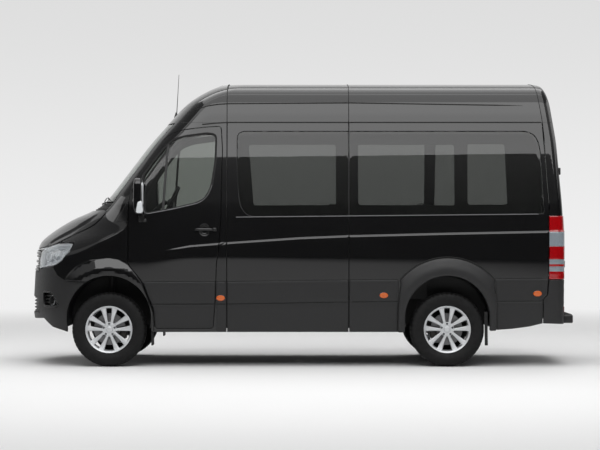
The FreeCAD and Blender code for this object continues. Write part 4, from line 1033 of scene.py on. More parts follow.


# black tubes along the gutter, the roof crease, the rear seam and across the roof at its joints: painted
# shadow lines standing for the shade in these grooves
seams = []
for side, sign in sides.items():
    xs = np.linspace(-0.93, 2.338, 60)
    zs = np.interp(xs, [-0.93, -0.80, -0.69, 2.338], [2.330, 2.343, 2.350, 2.350])
    seams.append(tube("gutterShadowLine", np.stack([xs, sign * (sideHalf(xs, zs) + 0.001), zs], 1), 0.006,
                      rubberAndPaintedShade, 8))
    xs = np.linspace(-1.00, 2.16, 60)
    zs = np.interp(xs, [-1.00, -0.90, -0.80, -0.69, 0.5, 2.16], [2.470, 2.505, 2.524, 2.532, 2.540, 2.513])
    taper = np.interp(xs, [-1.00, -0.85, 1.9, 2.16], [0.2, 1, 1, 0.2])
    seams.append(tube("creaseShadowLine", np.stack([xs, sign * (roofHalf(xs, zs) + 0.0005), zs], 1), 0.006,
                      rubberAndPaintedShade, 8, taper=taper))
    zs = np.linspace(0, 1, 30)
    half, z = np.interp(zs, share, roofRun[0]), np.interp(zs, share, roofRun[1])
    x = np.interp(z, [2.35, 2.55, 2.70, 2.80], [2.351, 2.318, 2.292, 2.285])
    seams.append(tube("rearSealAndShadowLine", np.stack([x, sign * (half - 0.0005), z], 1), 0.0035, rubberAndPaintedShade, 8))
for x in (-0.690, split):
    v = np.linspace(0, 1, 40)
    half, z = np.interp(v, share, roofRun[0]), np.interp(v, share, roofRun[1])
    path = np.vstack([np.stack([0 * v + x, half, z], 1), np.stack([0 * v + x, -half, z], 1)[::-1][1:]])
    seams.append(tube("roofJointShadow", path, 0.004, rubberAndPaintedShade, 8))
fit(joined("roofShadowLines", seams), "body", "black_plastic")
print("stage: roof")

# tail: corner pillars, lamps, doors and bumper

tailForm = {
    "pillar": [(2.405, 1.452), (2.407, 1.476), (2.388, 1.80), (2.372, 2.08), (2.351, 2.350)],
    "doorFoot": 0.860, "doorHead": 2.344,
    "bumperEdge": [(2.351, 0.415), (2.351, 0.648), (2.392, 0.690), (2.403, 0.836)],
    "lampFront": 2.404,
    # bands of the lamp from its foot: height and finish
    "bands": [(0.842, 0.915, "red"), (0.915, 0.964, "clear"), (0.964, 0.985, "red"), (0.985, 1.032, "clear"),
              (1.032, 1.155, "red"), (1.155, 1.296, "clear"), (1.296, 1.448, "red")],
}
doorFoot, doorHead = tailForm["doorFoot"], tailForm["doorHead"]
pillarRight = np.vstack([rearOf(tailForm["pillar"]), [(0.774, 2.350), (0.893, 1.452)]])
leafRight = rounded([(0.003, doorFoot), (0.885, doorFoot), (0.885, 1.450), (0.770, doorHead),
                     (0.003, doorHead)], 0.018)
paneRight = rounded([(0.105, 1.515), (0.735, 1.515), (0.672, 2.175), (0.105, 2.175)], 0.050)
for side, sign in sides.items():
    flip = mirror if sign < 0 else np.asarray
    pillar = panel(f"tailPillar_{side}", flip(pillarRight), [], onRear(), 0.030, paintedSheet, 0.02, 0.003)
    fit(pillar, "body", "body_paint")
    parts = []
    for low, high, finish in tailForm["bands"]:
        band = np.array([(tailForm["lampFront"], low), (tailForm["lampFront"], high)])
        outline = np.vstack([rearOf(band), [(0.886, high), (0.886, low)]])
        material = redLens if finish == "red" else greyLens
        proud = 0.006 if finish == "red" else 0.004
        parts.append(panel("lampBand", flip(outline), [], onRear(proud), 0.055, [material], 0.02, 0.002,
                           0.01))
    fit(joined(f"tailLamp_{side}", parts), "body", "red_lens", *(["tail_lamps"] if sign < 0 else []))
    body = f"rear_door_{side}"
    leaf = panel(f"rearLeaf_{side}", flip(leafRight), [flip(paneRight)], onRear(), 0.045, paintedSheet,
                 0.035, 0.005)
    fit(leaf, body, "body_paint", f"rear_door_{side}")
    seal = panel("seal", flip(grown(paneRight, 0.004)), [flip(grown(paneRight, -0.018))], onRear(-0.003),
                 0.02, [rubberAndPaintedShade], 0.03, 0.003)
    fit(seal, body, "black_plastic").name = f"rearSealAndShadowLine_{side}"
    pane = panel(f"rearPane_{side}", flip(grown(paneRight, -0.004)), [], onRear(-0.006), 0.004,
                 [privacyGlass], 0.05, 0.0)
    fit(pane, body, "tinted_glass", f"rear_glass_{side}")
bumperRight = np.vstack([[(0.0, 0.395), (0.60, 0.398)], rearOf(tailForm["bumperEdge"]),
                         [(0.60, 0.842), (0.0, 0.846)]])
rearBumper = panel("rearBumperSkin", np.vstack([bumperRight, mirror(bumperRight)]), [], onRear(0.004), 0.030,
                   [claddingPlastic, mouldedPlastic], 0.04, 0.006)
fit(rearBumper, "body", "cladding", "rear_bumper")
print("stage: tail")


# cladding, flares and marker lamps

claddingForm = {
    "along": [-1.50, -0.69, 0.483, 2.36], "top": [0.818, 0.818, 0.834, 0.848],
    "foot": [0.599, 0.603, 0.623, 0.632],
    "lift": 0.010, "sillLift": 0.004, "thick": 0.016,
    "markers": [-0.748, 0.818, 2.292], "markerUp": [0.661, 0.687, 0.704], "markerSize": (0.042, 0.027),
    # ends of each run: front x at the top and at the foot, rear x, how far it is cut short there,
    # and what it rides on
    "runs": [(-1.488, -1.409, -0.806, 0.0, "door"), (-0.792, -0.792, -0.697, 0.0, "body"),
             (-0.683, -0.683, 0.477, 0.0, "body"), (0.489, 0.489, rearAxle - 0.458, 0.010, "body"),
             (rearAxle + 0.458, rearAxle + 0.474, 2.340, 0.0, "body")],
    # the same runs for the painted shadow lines along the moulding's edges: front x, rear x and carrier
    "joints": [(-1.478, -0.806, "door"), (-0.792, -0.697, "body"), (-0.683, 0.477, "body"),
               (0.489, rearAxle - 0.47, "body"), (rearAxle + 0.47, 2.340, "body")],
    # the door's moulding and sill follow its curved front edge
    "doorMoulding": [(-1.409, 0.604), (-0.806, 0.607), (-0.803, 0.815), (-1.490, 0.815), (-1.446, 0.685)],
    "doorSill": [(-1.378, 0.374), (-0.823, 0.374), (-0.807, 0.597), (-1.405, 0.593), (-1.392, 0.545)],
}


def claddingTop(x):
    # height of the moulding's upper edge, in straight runs between the table's points
    return np.interp(x, claddingForm["along"], claddingForm["top"])


def claddingFoot(x):
    # height of the moulding's lower edge, likewise
    return np.interp(x, claddingForm["along"], claddingForm["foot"])


def flared(surface, axle):
    # the surface pushed out by (0.004 + 0.036 f) m: with t rising from 0 at the flare's rim to 1 at the arch,
    # f = t / 0.62 on the slope, 1 on the lip, joined by a parabola from t / 0.62 = 0.85 to 1.15
    def bent(flat):
        def push(points):
            radius = np.hypot(points[:, 0] - axle, np.maximum(points[:, 2] - archZ, 0))
            ramp = np.clip((0.578 - radius) / 0.171, 0, 1) / 0.62
            bend = ramp - (ramp - 0.85) ** 2 / 0.6
            return 0.004 + 0.036 * np.where(ramp < 0.85, ramp, np.where(ramp > 1.15, 1.0, bend))
        points, normals = surface(flat)
        lift = push(points)
        d = 0.002
        slope = np.stack([(push(points + step) - push(points - step)) / (2 * d) for step in np.eye(3) * d], 1)
        slope -= normals * (slope * normals).sum(1, keepdims=True)
        return points + normals * lift[:, None], unit(normals - slope)
    return bent


def band(frontTop, frontFoot, rear, top, low):
    # four corners with their upper and lower sides following the lines
    xs = np.linspace(frontTop, rear, 12)
    ys = np.linspace(frontFoot, rear, 12)
    return np.vstack([np.stack([ys, low(ys)], 1), np.stack([xs, top(xs)], 1)[::-1]])


for side, sign in sides.items():
    fixed = []
    for frontTop, frontFoot, rear, short, carrier in claddingForm["runs"]:
        if carrier == "door":
            upper, lower = claddingForm["doorMoulding"], np.array(claddingForm["doorSill"])
        else:
            upper = band(frontTop, frontFoot, rear - short,
                         lambda x: claddingTop(x) - 0.003, lambda x: claddingFoot(x) + 0.003)
            lower = np.array([(frontFoot, foot + 0.004), (rear - 2 * short, foot + 0.004),
                              (rear - 1.4 * short, float(claddingFoot(rear)) - 0.004),
                              (frontFoot, float(claddingFoot(frontFoot)) - 0.004)])
        if rear > 2.3:
            # the last run turns round the tail's corner
            upper = np.vstack([upper[:12], [(2.340, 0.652), (2.384, 0.690), (2.392, 0.838)], upper[12:]])
            lower = np.array([(frontFoot + 0.002, foot + 0.02), (2.05, 0.364), (2.22, 0.387), (2.338, 0.417),
                              (2.338, 0.622), (frontFoot, 0.622)])
        upper = rounded(upper, 0.006, 3)
        moulding = panel(f"moulding_{side}", upper, [], onSide(sign, claddingForm["lift"]),
                         claddingForm["thick"], [claddingPlastic], 0.05, 0.006, 0.02)
        if sign > 0 and -0.7 < frontTop < 0.4:
            # clear of the sliding door's lower rail
            lower[:, 1] = np.maximum(lower[:, 1], 0.366)
        sill = panel(f"sill_{side}", rounded(lower, 0.006, 3), [], onSide(sign, claddingForm["sillLift"]),
                     claddingForm["thick"] - 0.004, [claddingPlastic], 0.05, 0.005, 0.02)
        if carrier == "door":
            fit(joined(f"doorCladding_{side}", [moulding, sill]), f"door_{side}", "cladding")
        else:
            fixed += [moulding, sill]
    flare = np.vstack([
        [(rearAxle - 0.476, foot), (rearAxle - 0.470, 0.60), (rearAxle - 0.450, 0.78)],
        archSide(rearAxle, 141, 39, 40, 0.576),
        [(rearAxle + 0.450, 0.78), (rearAxle + 0.468, 0.60), (rearAxle + 0.470, 0.350),
         (rearAxle + archR, 0.346)],
        archSide(rearAxle, 0, 180, 40), [(rearAxle - archR, foot)]])
    # a black sheet behind the sills: painted shade for what is seen through their gaps
    backing = band(-1.355, -1.355, 0.930, lambda x: 0.64 + 0 * x, lambda x: 0.366 + 0 * x)
    fixed.append(panel("sillBacking", backing, [], onSide(sign, -0.022), 0.004, [rubberAndPaintedShade], 0.08, 0.001))
    fixed.append(panel("rearFlare", rounded(flare, 0.012, 3), [], flared(onSide(sign, 0.004), rearAxle),
                       0.030, [claddingPlastic], 0.03, 0.008, 0.02))
    fit(joined(f"cladding_{side}", fixed), "body", "cladding")
    front = np.vstack([
        nearAxle([(-228, 821), (-320, 824), (-424, 832), (-380, 902), (-300, 972), (-180, 1027), (0, 1048),
                  (100, 1032), (186, 984), (258, 902), (317, 813), (371, 674), (420, 550), (432, 366),
                  (432, 337), (407, 337)]),
        archSide(frontAxle, 0, 121, 40)])
    front = wrapOf(spaced(rounded(front, 0.02, 4), 0.02))
    front = panel(f"frontFlare_{side}", front if sign < 0 else mirror(front), [],
                  flared(onWrap(0.002), frontAxle), 0.030, [blackPaint], 0.03, 0.008, 0.02)
    fit(front, "body", "body_paint")
    # black tubes along the moulding's edges and round the rear flare: painted shadow lines for the gaps there
    joints = []
    for low, high, carrier in claddingForm["joints"]:
        for line, ends in ((claddingTop, 0.0), (claddingFoot, 0.07 if carrier == "door" else 0.0)):
            xs = np.linspace(low + ends, high, 24)
            points = onSide(sign, 0.0035)(np.stack([xs, line(xs)], 1))[0]
            joints.append((carrier, tube("joint", points, 0.0042, rubberAndPaintedShade, 8)))
    fit(joined(f"doorJoints_{side}", [thing for carrier, thing in joints if carrier == "door"]),
        f"door_{side}", "black_plastic")
    rims = [thing for carrier, thing in joints if carrier == "body"]
    rim = np.vstack([[(rearAxle - 0.462, 0.70), (rearAxle - 0.444, 0.79)],
                     archSide(rearAxle, 141, 39, 40, 0.584),
                     [(rearAxle + 0.444, 0.79), (rearAxle + 0.462, 0.70)]])
    rims.append(tube("flareGapShadow", onSide(sign, 0.003)(rim)[0], 0.0052, rubberAndPaintedShade, 8))
    fit(joined(f"sideJoints_{side}", rims), "body", "black_plastic")
    lamps = []
    for place in zip(claddingForm["markers"], claddingForm["markerUp"]):
        oval = ellipse(place, *claddingForm["markerSize"], 40)
        lamps.append(panel("marker", oval, [], onSide(sign, 0.017), 0.012, [amberLens], 0.012, 0.006, 0.008))
        lamps.append(panel("markerRim", grown(oval, 0.006), [grown(oval, -0.002)], onSide(sign, 0.013), 0.008,
                           [mouldedPlastic], 0.012, 0.002, 0.01))
    fit(joined(f"markers_{side}", lamps), "body", "cladding")
print("stage: cladding")

# windscreen, cowl and wipers

screenLeft = np.vstack([[(0.0, 1.588)], wrapOfHalf(spaced([(0.815, 1.590), (0.736, 2.167), (0.714, 2.338),
                                                           (0.713, 2.339)], 0.03, False)),
                        wrapOfHalf([(0.713, 2.340)]), [(0.0, 2.344)]])
screenOutline = rounded(whole(screenLeft), 0.045)
screen = panel("screenPane", screenOutline, [], onWrap(-0.003), 0.006, [screenGlass], 0.05, 0.001, 0.02)
fit(screen, "body", "clear_glass", "windscreen")
frit = panel("screenFrit", screenOutline, [rounded(grown(screenOutline, -0.045), 0.05)], onWrap(-0.0095),
             0.012, [rubberAndPaintedShade, liningPlastic], 0.04, 0.0, 0.02)
fit(frit, "body", "black_plastic")
cowlLeft = np.vstack([[(0.0, 1.509)], wrapOfHalf([(0.40, 1.509), (0.762, 1.509)]),
                      wrapOfHalf([(0.826, 1.584)]), [(0.30, 1.583), (0.0, 1.583)]])
cowlOutline = whole(cowlLeft)
cowl = panel("cowlPanel", cowlOutline, [], onWrap(-0.014), 0.006, [mouldedPlastic], 0.04, 0.002)
cowlSlats = louvres("cowlSlats", rounded(grown(cowlOutline, -0.006), 0.01), onWrap(-0.006), 0.014, 0.006,
                    mouldedPlastic, 0.008, 0.002)
fit(joined("cowl", [cowl, cowlSlats]), "body", "black_plastic")


def onScreen(halfs, ups, lift):
    # points on the windscreen from signed half-widths and heights
    halfs, ups = np.asarray(halfs, float), np.asarray(ups, float)
    flat = wrapOfHalf(np.stack([np.abs(halfs), ups], 1))
    flat[:, 0] *= np.sign(halfs + 1e-9)
    points, normals = onWrap(0.0)(flat)
    return points + normals * lift


wiperParts = []
for start, end in ((0.64, 0.02), (-0.06, -0.68)):
    hs = np.linspace(start, end, 24)
    us = 1.606 + 0.012 * np.sin(np.linspace(0, math.pi, 24)) + np.linspace(0, 0.012, 24)
    wiperParts.append(tube("blade", onScreen(hs, us, 0.008), 0.006, rubberAndPaintedShade, 8, flatten=0.6))
    hs = np.linspace(start + 0.02, (start + end) / 2, 14)
    us = np.linspace(1.560, 1.618, 14)
    wiperParts.append(tube("arm", onScreen(hs, us, 0.014), 0.007, mouldedPlastic, 8, flatten=0.7,
                           taper=np.linspace(1.3, 0.7, 14)))
fit(joined("wiperBlades", wiperParts), "body", "black_plastic", "wipers")
print("stage: screen")

# mirrors

mirrorForm = {
    "middle": (-1.526, 1.100, 1.636),
    # blocks: name, offset from the middle, half-sizes, power, material, narrowing upwards along x and y
    "blocks": [("head", 0.0, 0.0, 0.0, (0.043, 0.084, 0.170), 0.42, mouldedPlastic, 0.0, -0.04),
               ("cap", -0.004, 0.0, 0.006, (0.0415, 0.0855, 0.166), 0.40, blackPaint, 0.0, -0.04),
               ("glass", 0.0360, 0.0, 0.025, (0.008, 0.070, 0.108), 0.3, brightReflector, 0.0, 0.0),
               ("lowGlass", 0.0360, 0.0, -0.118, (0.008, 0.066, 0.024), 0.3, brightReflector, 0.0, 0.0),
               ("turnLamp", 0.014, 0.052, -0.098, (0.031, 0.0365, 0.066), 0.5, clearLens, -0.25, 0.0)],
    "arm": [(0.012, -0.02, -0.160), (0.016, -0.05, -0.178), (0.022, -0.09, -0.200), (0.030, -0.135, -0.222)],
}


def superBlock(name, middle, half, power, material, taperX=0.0, taperY=0.0):
    # a block whose edges and corners are round: with curve(v) = sign(v) |v|^power, a round it and b up it,
    # x = curve(cos a) curve(cos b), y = curve(sin a) curve(cos b), z = curve(sin b), each times its half-size
    rings, steps = 40, 24
    a = around(rings)[:, None]
    b = np.linspace(-math.pi / 2, math.pi / 2, steps)[None, :]

    def curve(v):
        return np.sign(v) * np.abs(v) ** power
    z = curve(np.sin(b)) * half[2] + 0 * a
    narrow = z / half[2]
    x = curve(np.cos(a)) * curve(np.cos(b)) * half[0] * (1 + taperX * narrow)
    y = curve(np.sin(a)) * curve(np.cos(b)) * half[1] * (1 + taperY * narrow)
    points = np.stack([x + middle[0], y + middle[1], z + middle[2]], -1).reshape(-1, 3)
    points, _, triangles = weld(points, points, gridFaces(rings, steps, True, False))
    return cleaned(makeObject(name, points, triangles, [material], sharp=60))


for side, sign in sides.items():
    mx, my, mz = mirrorForm["middle"]
    parts = [superBlock(name, (mx + dx, sign * (my + dy), mz + dz), half, power, material, taperX, taperY)
             for name, dx, dy, dz, half, power, material, taperX, taperY in mirrorForm["blocks"]]
    arm = [(mx + dx, sign * (my + dy), mz + dz) for dx, dy, dz in mirrorForm["arm"]]
    parts.append(tube("arm", arm, 0.030, mouldedPlastic, 16, False, 0.75, [1.15, 1.0, 0.95, 1.1]))
    parts.append(roundedBox("foot", (mx - 0.010, sign * 0.955, 1.386), (mx + 0.070, sign * 0.985, 1.424),
                            0.012, mouldedPlastic))
    fit(joined(f"mirror_{side}_head", parts), f"door_{side}", "black_plastic", f"mirror_{side}")
print("stage: mirrors")

# wheels

wheelForm = {"track": 0.85, "pairs": 5, "spread": 15.0, "hubSpread": 25.0, "lug": 0.054}


def makeTyre(name, centre):
    # section profile turned through 288 steps, sunk at three ring grooves and at the shoulder slots
    half = np.array([(0.2240, 0.0860), (0.2235, 0.0930), (0.2300, 0.0985), (0.2420, 0.1040), (0.2600, 0.1120),
                     (0.2800, 0.1165), (0.3000, 0.1172), (0.3180, 0.1150), (0.3320, 0.1105), (0.3420, 0.1045),
                     (0.3490, 0.0960), (0.3525, 0.0860), (0.3540, 0.0740), (0.3552, 0.0600), (0.3560, 0.0460),
                     (0.3564, 0.0440), (0.3564, 0.0350), (0.3566, 0.0330), (0.3569, 0.0200), (0.3570, 0.0055),
                     (0.3570, 0.0045)])
    profile = np.vstack([half, [(0.3570, 0.0)], (half * (1, -1))[::-1], [(0.2190, -0.070), (0.2190, 0.070)]])
    steps = 288
    a = around(steps)[:, None]
    r, o = profile[None, :, 0], profile[None, :, 1]
    ring = ((np.abs(np.abs(o) - 0.0395) < 0.0046) | (np.abs(o) < 0.0046)) & (r > 0.35)
    step = np.arange(steps)[:, None]
    slot = (step % 6 < 2) & (np.abs(o) > 0.05) & (r > 0.340)
    cross = ((step + (o > 0) * 3) % 8 < 1) & (np.abs(o) < 0.034) & (np.abs(o) > 0.006) & (r > 0.35)
    radius = r - 0.008 * ring - 0.006 * slot - 0.005 * cross
    # a raised plain band round each sidewall
    across = o + np.sign(o) * 0.0012 * ((r > 0.262) & (r < 0.300))
    points = np.stack([centre[0] + radius * np.cos(a), centre[1] + across + 0 * a,
                       centre[2] + radius * np.sin(a)], -1)
    return cleaned(makeObject(name, points.reshape(-1, 3), gridFaces(steps, len(profile), True, True),
                              [tyreRubber], sharp=30))


def makeSpoke(angle, offset, sign, centre):
    # a rounded bar from the hub to the rim, its face sunk a little in the middle
    s = np.linspace(0, 1, 16)[:, None]
    spreadRim, spreadHub = (math.radians(wheelForm[key] * offset) for key in ("spread", "hubSpread"))
    start = np.array([0.044 * math.cos(angle + spreadHub), 0.044 * math.sin(angle + spreadHub)])
    end = np.array([0.214 * math.cos(angle + spreadRim), 0.214 * math.sin(angle + spreadRim)])
    line = start + (end - start) * s
    across = np.array([-(end - start)[1], (end - start)[0]])
    across = across / np.linalg.norm(across)
    width = np.interp(s, [0, 0.25, 0.6, 0.85, 1], [0.014, 0.0145, 0.0205, 0.0255, 0.0340])
    face = np.interp(s, [0, 0.2, 0.55, 0.85, 1], [0.066, 0.067, 0.071, 0.079, 0.086])
    depth = np.interp(s, [0, 0.5, 1], [0.036, 0.028, 0.022])
    b = around(20)[None, :]
    u = np.sign(np.cos(b)) * np.abs(np.cos(b)) ** 0.55
    w = np.sign(np.sin(b)) * np.abs(np.sin(b)) ** 0.55
    flat = line[:, None, :] + across * (width * u * (1 - 0.14 * (w > 0)))[..., None]
    y = face - depth / 2 + depth / 2 * w - 0.003 * (w > 0) * (1 - u ** 2)
    points = np.stack([centre[0] + flat[..., 0], centre[1] + sign * y, centre[2] + flat[..., 1]],
                      -1).reshape(-1, 3)
    return cleaned(makeObject("spoke", points, cappedFaces(16, 20), [castAlloy], sharp=50))


def makeRim(name, centre, sign):
    # barrel, hub and cap, spokes in pairs with a bolt at the root of each pair, and the brake disc
    barrel = [(0.2285, 0.094), (0.2285, 0.088), (0.217, 0.082), (0.213, 0.060), (0.206, 0.0), (0.212, -0.06),
              (0.217, -0.082), (0.2285, -0.088), (0.2285, -0.094), (0.223, -0.0945), (0.209, -0.084),
              (0.205, -0.06), (0.199, 0.0), (0.205, 0.055), (0.207, 0.080), (0.211, 0.0865), (0.2175, 0.089),
              (0.2215, 0.0935), (0.225, 0.0955)]
    parts = [turned("barrel", np.array(barrel) * (1, sign), centre, castAlloy, 96)]
    hub = [(0.0, 0.028), (0.050, 0.028), (0.066, 0.034), (0.070, 0.048), (0.067, 0.060), (0.060, 0.0655),
           (0.034, 0.066), (0.031, 0.0625), (0.0, 0.0625)]
    parts.append(turned("hub", np.array(hub) * (1, sign), centre, castAlloy, 60))
    cap = [(0.0, 0.060), (0.030, 0.060), (0.0295, 0.0665), (0.026, 0.0695), (0.018, 0.0705), (0.0, 0.0712)]
    parts.append(turned("cap", np.array(cap) * (1, sign), centre, castAlloy, 48))
    for k in range(wheelForm["pairs"]):
        angle = math.radians(90 + 360 / wheelForm["pairs"] * k)
        parts += [makeSpoke(angle, offset, sign, centre) for offset in (-1, 1)]
        at = (centre[0] + wheelForm["lug"] * math.cos(angle), centre[1],
              centre[2] + wheelForm["lug"] * math.sin(angle))
        # a black ring round each bolt: painted shade for the bolt's recess in the hub
        well = [(0.0, 0.058), (0.0, 0.0672), (0.0098, 0.0672), (0.0098, 0.058)]
        parts.append(turned("well", np.array(well) * (1, sign), at, rubberAndPaintedShade, 24))
        bolt = [(0.0, 0.060), (0.0, 0.0685), (0.0045, 0.0685), (0.0058, 0.0675), (0.0060, 0.060)]
        parts.append(turned("bolt", np.array(bolt) * (1, sign), at, zincSheet, 6, sharp=20))
    disc = [(0.050, -0.026), (0.152, -0.026), (0.153, -0.025), (0.153, -0.015), (0.151, -0.013),
            (0.151, -0.007), (0.153, -0.005), (0.153, 0.003), (0.152, 0.004), (0.092, 0.004), (0.088, 0.024),
            (0.084, 0.028), (0.050, 0.028)]
    parts.append(turned("disc", np.array(disc) * (1, sign), centre, turnedIron, 96))
    return joined(name, parts)


def makeCaliper(name, centre, sign, middleAngle):
    # an arc block that straddles the disc
    a = np.radians(middleAngle + np.linspace(-24, 24, 13))[:, None]
    section = np.array([(0.100, 0.010), (0.118, 0.026), (0.150, 0.030), (0.168, 0.022), (0.172, -0.010),
                        (0.168, -0.044), (0.150, -0.052), (0.110, -0.046), (0.100, -0.032), (0.156, -0.030),
                        (0.158, 0.007), (0.100, 0.006)])
    r, o = section[None, :, 0], section[None, :, 1] * sign
    points = np.stack([centre[0] + r * np.cos(a), centre[1] + o + 0 * a, centre[2] + r * np.sin(a)],
                      -1).reshape(-1, 3)
    return cleaned(makeObject(name, points, cappedFaces(13, len(section)), [castIron], sharp=40))


for end, x in (("front", frontAxle), ("rear", rearAxle)):
    for side, sign in sides.items():
        centre = (x, sign * wheelForm["track"], axleHeight)
        wheel = f"wheel_{end}_{side}"
        fit(makeTyre(f"tread_{end}_{side}", centre), wheel, "tyre_rubber", f"tyre_{end}_{side}")
        fit(makeRim(f"spokes_{end}_{side}", centre, sign), wheel, "alloy", f"rim_{end}_{side}")
        caliper = makeCaliper(f"caliper_{end}_{side}", centre, sign, -12 if end == "front" else 192)
        fit(caliper, f"knuckle_{side}" if end == "front" else "body", "cast_steel")
print("stage: wheels")


# wheel arch liners

for side, sign in sides.items():
    liners = []
    for axle in (frontAxle, rearAxle):
        a = np.radians(np.linspace(-14 if axle < 0 else -12, 192, 60))[:, None]
        outerEdge = 0.958 if axle < 0 else 0.945
        # the inner wall stands clear of the steered tyre in front
        wall = 0.505 if axle < 0 else 0.655
        section = np.array([(0.404, outerEdge), (0.404, 0.80), (0.402, wall + 0.015), (0.380, wall),
                            (0.20, wall - 0.003), (0.20, wall - 0.009), (0.386, wall - 0.007),
                            (0.409, wall + 0.007), (0.411, 0.80), (0.411, outerEdge)])
        r, o = section[None, :, 0], section[None, :, 1] * sign
        points = np.stack([axle + r * np.cos(a), o + 0 * a, archZ + r * np.sin(a)], -1).reshape(-1, 3)
        liners.append(cleaned(makeObject("liner", points, cappedFaces(60, 10), [mouldedPlastic], sharp=40)))
    fit(joined(f"archLiners_{side}", liners), "body", "black_plastic", "wheel_houses")

# rear step, reflectors, hinges, handle, plates and third brake lamp

stepParts = [roundedBox("stepBody", (2.545, -0.80, 0.412), (2.655, 0.80, 0.492), 0.012, mouldedPlastic)]
for y in np.linspace(-0.76, 0.76, 39):
    stepParts.append(roundedBox("stepRib", (2.560, y - 0.007, 0.488), (2.648, y + 0.007, 0.4975), 0.003,
                                rubberAndPaintedShade, segments=1))
for y in (-0.42, 0.42):
    stepParts.append(roundedBox("stepArm", (2.44, y - 0.03, 0.425), (2.56, y + 0.03, 0.475), 0.008, dipCoat))
fit(joined("rearStep", stepParts), "body", "black_plastic")
reflectors = [roundedBox("reflector", (2.548, y - 0.06, 0.520), (2.563, y + 0.06, 0.575), 0.005, redLens)
              for y in (-0.80, 0.80)]
fit(joined("rearReflectors", reflectors), "body", "red_lens")
fit(roundedBox("thirdLamp", (2.285, -0.16, 2.640), (2.325, 0.16, 2.672), 0.008, redLens), "body", "red_lens")
for side, sign in sides.items():
    hinges = []
    for z in (0.985, 1.879):
        x, y, _ = onRear()(np.array([(0.862, z)]))[0][0].tolist()
        hinges.append(roundedBox("hinge", (x - 0.012, sign * (y - 0.075), z - 0.034),
                                 (x + 0.016, sign * (y + 0.012), z + 0.034), 0.006, mouldedPlastic))
    fit(joined(f"rearHinges_{side}", hinges), f"rear_door_{side}", "black_plastic")
x = float(onRear()(np.array([(0.10, 1.10)]))[0][0, 0])
handle = [roundedBox("grip", (x + 0.012, 0.03, 1.085), (x + 0.034, 0.18, 1.118), 0.009, mouldedPlastic),
          roundedBox("gripFootA", (x - 0.004, 0.035, 1.090), (x + 0.02, 0.055, 1.113), 0.004, mouldedPlastic),
          roundedBox("gripFootB", (x - 0.004, 0.155, 1.090), (x + 0.02, 0.175, 1.113), 0.004, mouldedPlastic),
          turned("lock", [(0.0, 0.0), (0.012, 0.0), (0.012, 0.010), (0.009, 0.013), (0.0, 0.013)],
                 (x - 0.002, 0.21, 1.10), chromedZinc, 28, axis="x")]
fit(joined("rearHandle", handle), "rear_door_right", "black_plastic")
plate = roundedBox("rearPlate", (2.552, -0.26, 0.700), (2.560, 0.26, 0.812), 0.003, brightReflector)
fit(joined("plates", [plate]), "body", "galvanised")

# antenna

whip = tube("whip", [(-1.228, 0.0, 2.462), (-1.222, 0.0, 2.56), (-1.214, 0.0, 2.70), (-1.2045, 0.0, 2.872)],
            0.0036, rubberAndPaintedShade, 10, taper=[1.3, 1.0, 0.8, 0.6])
base = turned("antennaBase", [(0.0, 0.0), (0.0215, 0.0), (0.021, 0.012), (0.016, 0.030), (0.010, 0.050),
                              (0.0075, 0.060), (0.0, 0.062)],
              (-1.232, 0.0, 2.432), mouldedPlastic, 36, axis="z")
fit(joined("antennaSet", [whip, base]), "body", "black_plastic", "antenna")
print("stage: small parts")

# dashboard and steering wheel

dashForm = {"half": 0.872, "section": [(-1.755, 1.500), (-1.70, 1.522), (-1.60, 1.526), (-1.50, 1.508),
                                       (-1.452, 1.478), (-1.432, 1.430), (-1.438, 1.37), (-1.470, 1.30),
                                       (-1.500, 1.22), (-1.520, 1.14), (-1.62, 1.136), (-1.755, 1.136)]}
section = rounded(dashForm["section"], 0.018, 3)
ys = np.linspace(-dashForm["half"], dashForm["half"], 61)[:, None]
hump = 0.030 * np.exp(-((ys + 0.43) / 0.20) ** 2)
dip = 0.022 * (np.abs(ys) > 0.78) * (np.abs(ys) - 0.78) / 0.09
sx, sz = section[None, :, 0], section[None, :, 1]
xs = sx + 0.018 * np.exp(-(ys / 0.16) ** 2) * (sz < 1.44) * (sx > -1.53)
zs = sz - 0.026 * (sz > 1.46) + hump * (sz > 1.46) * 0.86 - dip
points = np.stack([np.minimum(xs, -1.424), ys + 0 * xs, zs], -1).reshape(-1, 3)
dashParts = [cleaned(makeObject("dashShell", points, cappedFaces(61, len(section)), [liningPlastic],
                                sharp=35))]
dashParts.append(roundedBox("screen", (-1.462, -0.13, 1.36), (-1.426, 0.13, 1.47), 0.008, glossPlastic))
for y in (-0.70, -0.20, 0.20, 0.70):
    dashParts.append(turned("vent", [(0.0, -0.01), (0.046, -0.01), (0.046, 0.014), (0.040, 0.018),
                                     (0.034, 0.010), (0.0, 0.008)],
                            (-1.452, y, 1.415), mouldedPlastic, 36, axis="x"))
fit(joined("dashboardTop", dashParts), "body", "black_plastic", "dashboard")

wheelTilt = math.radians(65)
hubPlace = np.array([-1.262, -0.430, 1.560])
# the wheel's plane is spanned by across and rise, and its axle is square to both
across = np.array([0.0, 1.0, 0.0])
rise = np.array([math.cos(wheelTilt), 0.0, math.sin(wheelTilt)])
axleWay = np.cross(rise, across)
a = around(72)[:, None]
ring = hubPlace + 0.185 * (np.cos(a) * across + np.sin(a) * rise)
wheelParts = [tube("ring", ring, 0.0145, mouldedPlastic, 14, closed=True)]
for angle in (0, 180, 270):
    way = math.cos(math.radians(angle)) * across + math.sin(math.radians(angle)) * rise
    wheelParts.append(tube("spoke", [hubPlace + way * r for r in (0.03, 0.09, 0.14, 0.182)], 0.014,
                           mouldedPlastic, 10, False, 0.6, [1.6, 1.2, 1.0, 1.0]))
wheelParts.append(superBlock("boss", tuple(hubPlace), (0.030, 0.072, 0.058), 0.6, liningPlastic))
wheelParts.append(tube("column", [hubPlace, hubPlace + axleWay * 0.06, hubPlace + (-0.17, 0, -0.075)], 0.024,
                       mouldedPlastic, 14))
fit(joined("steeringWheel", wheelParts), "body", "black_plastic", "steering_wheel")
print("stage: cab")


# seats: foam pads blown up from slightly smaller blocks, then piped along their seams

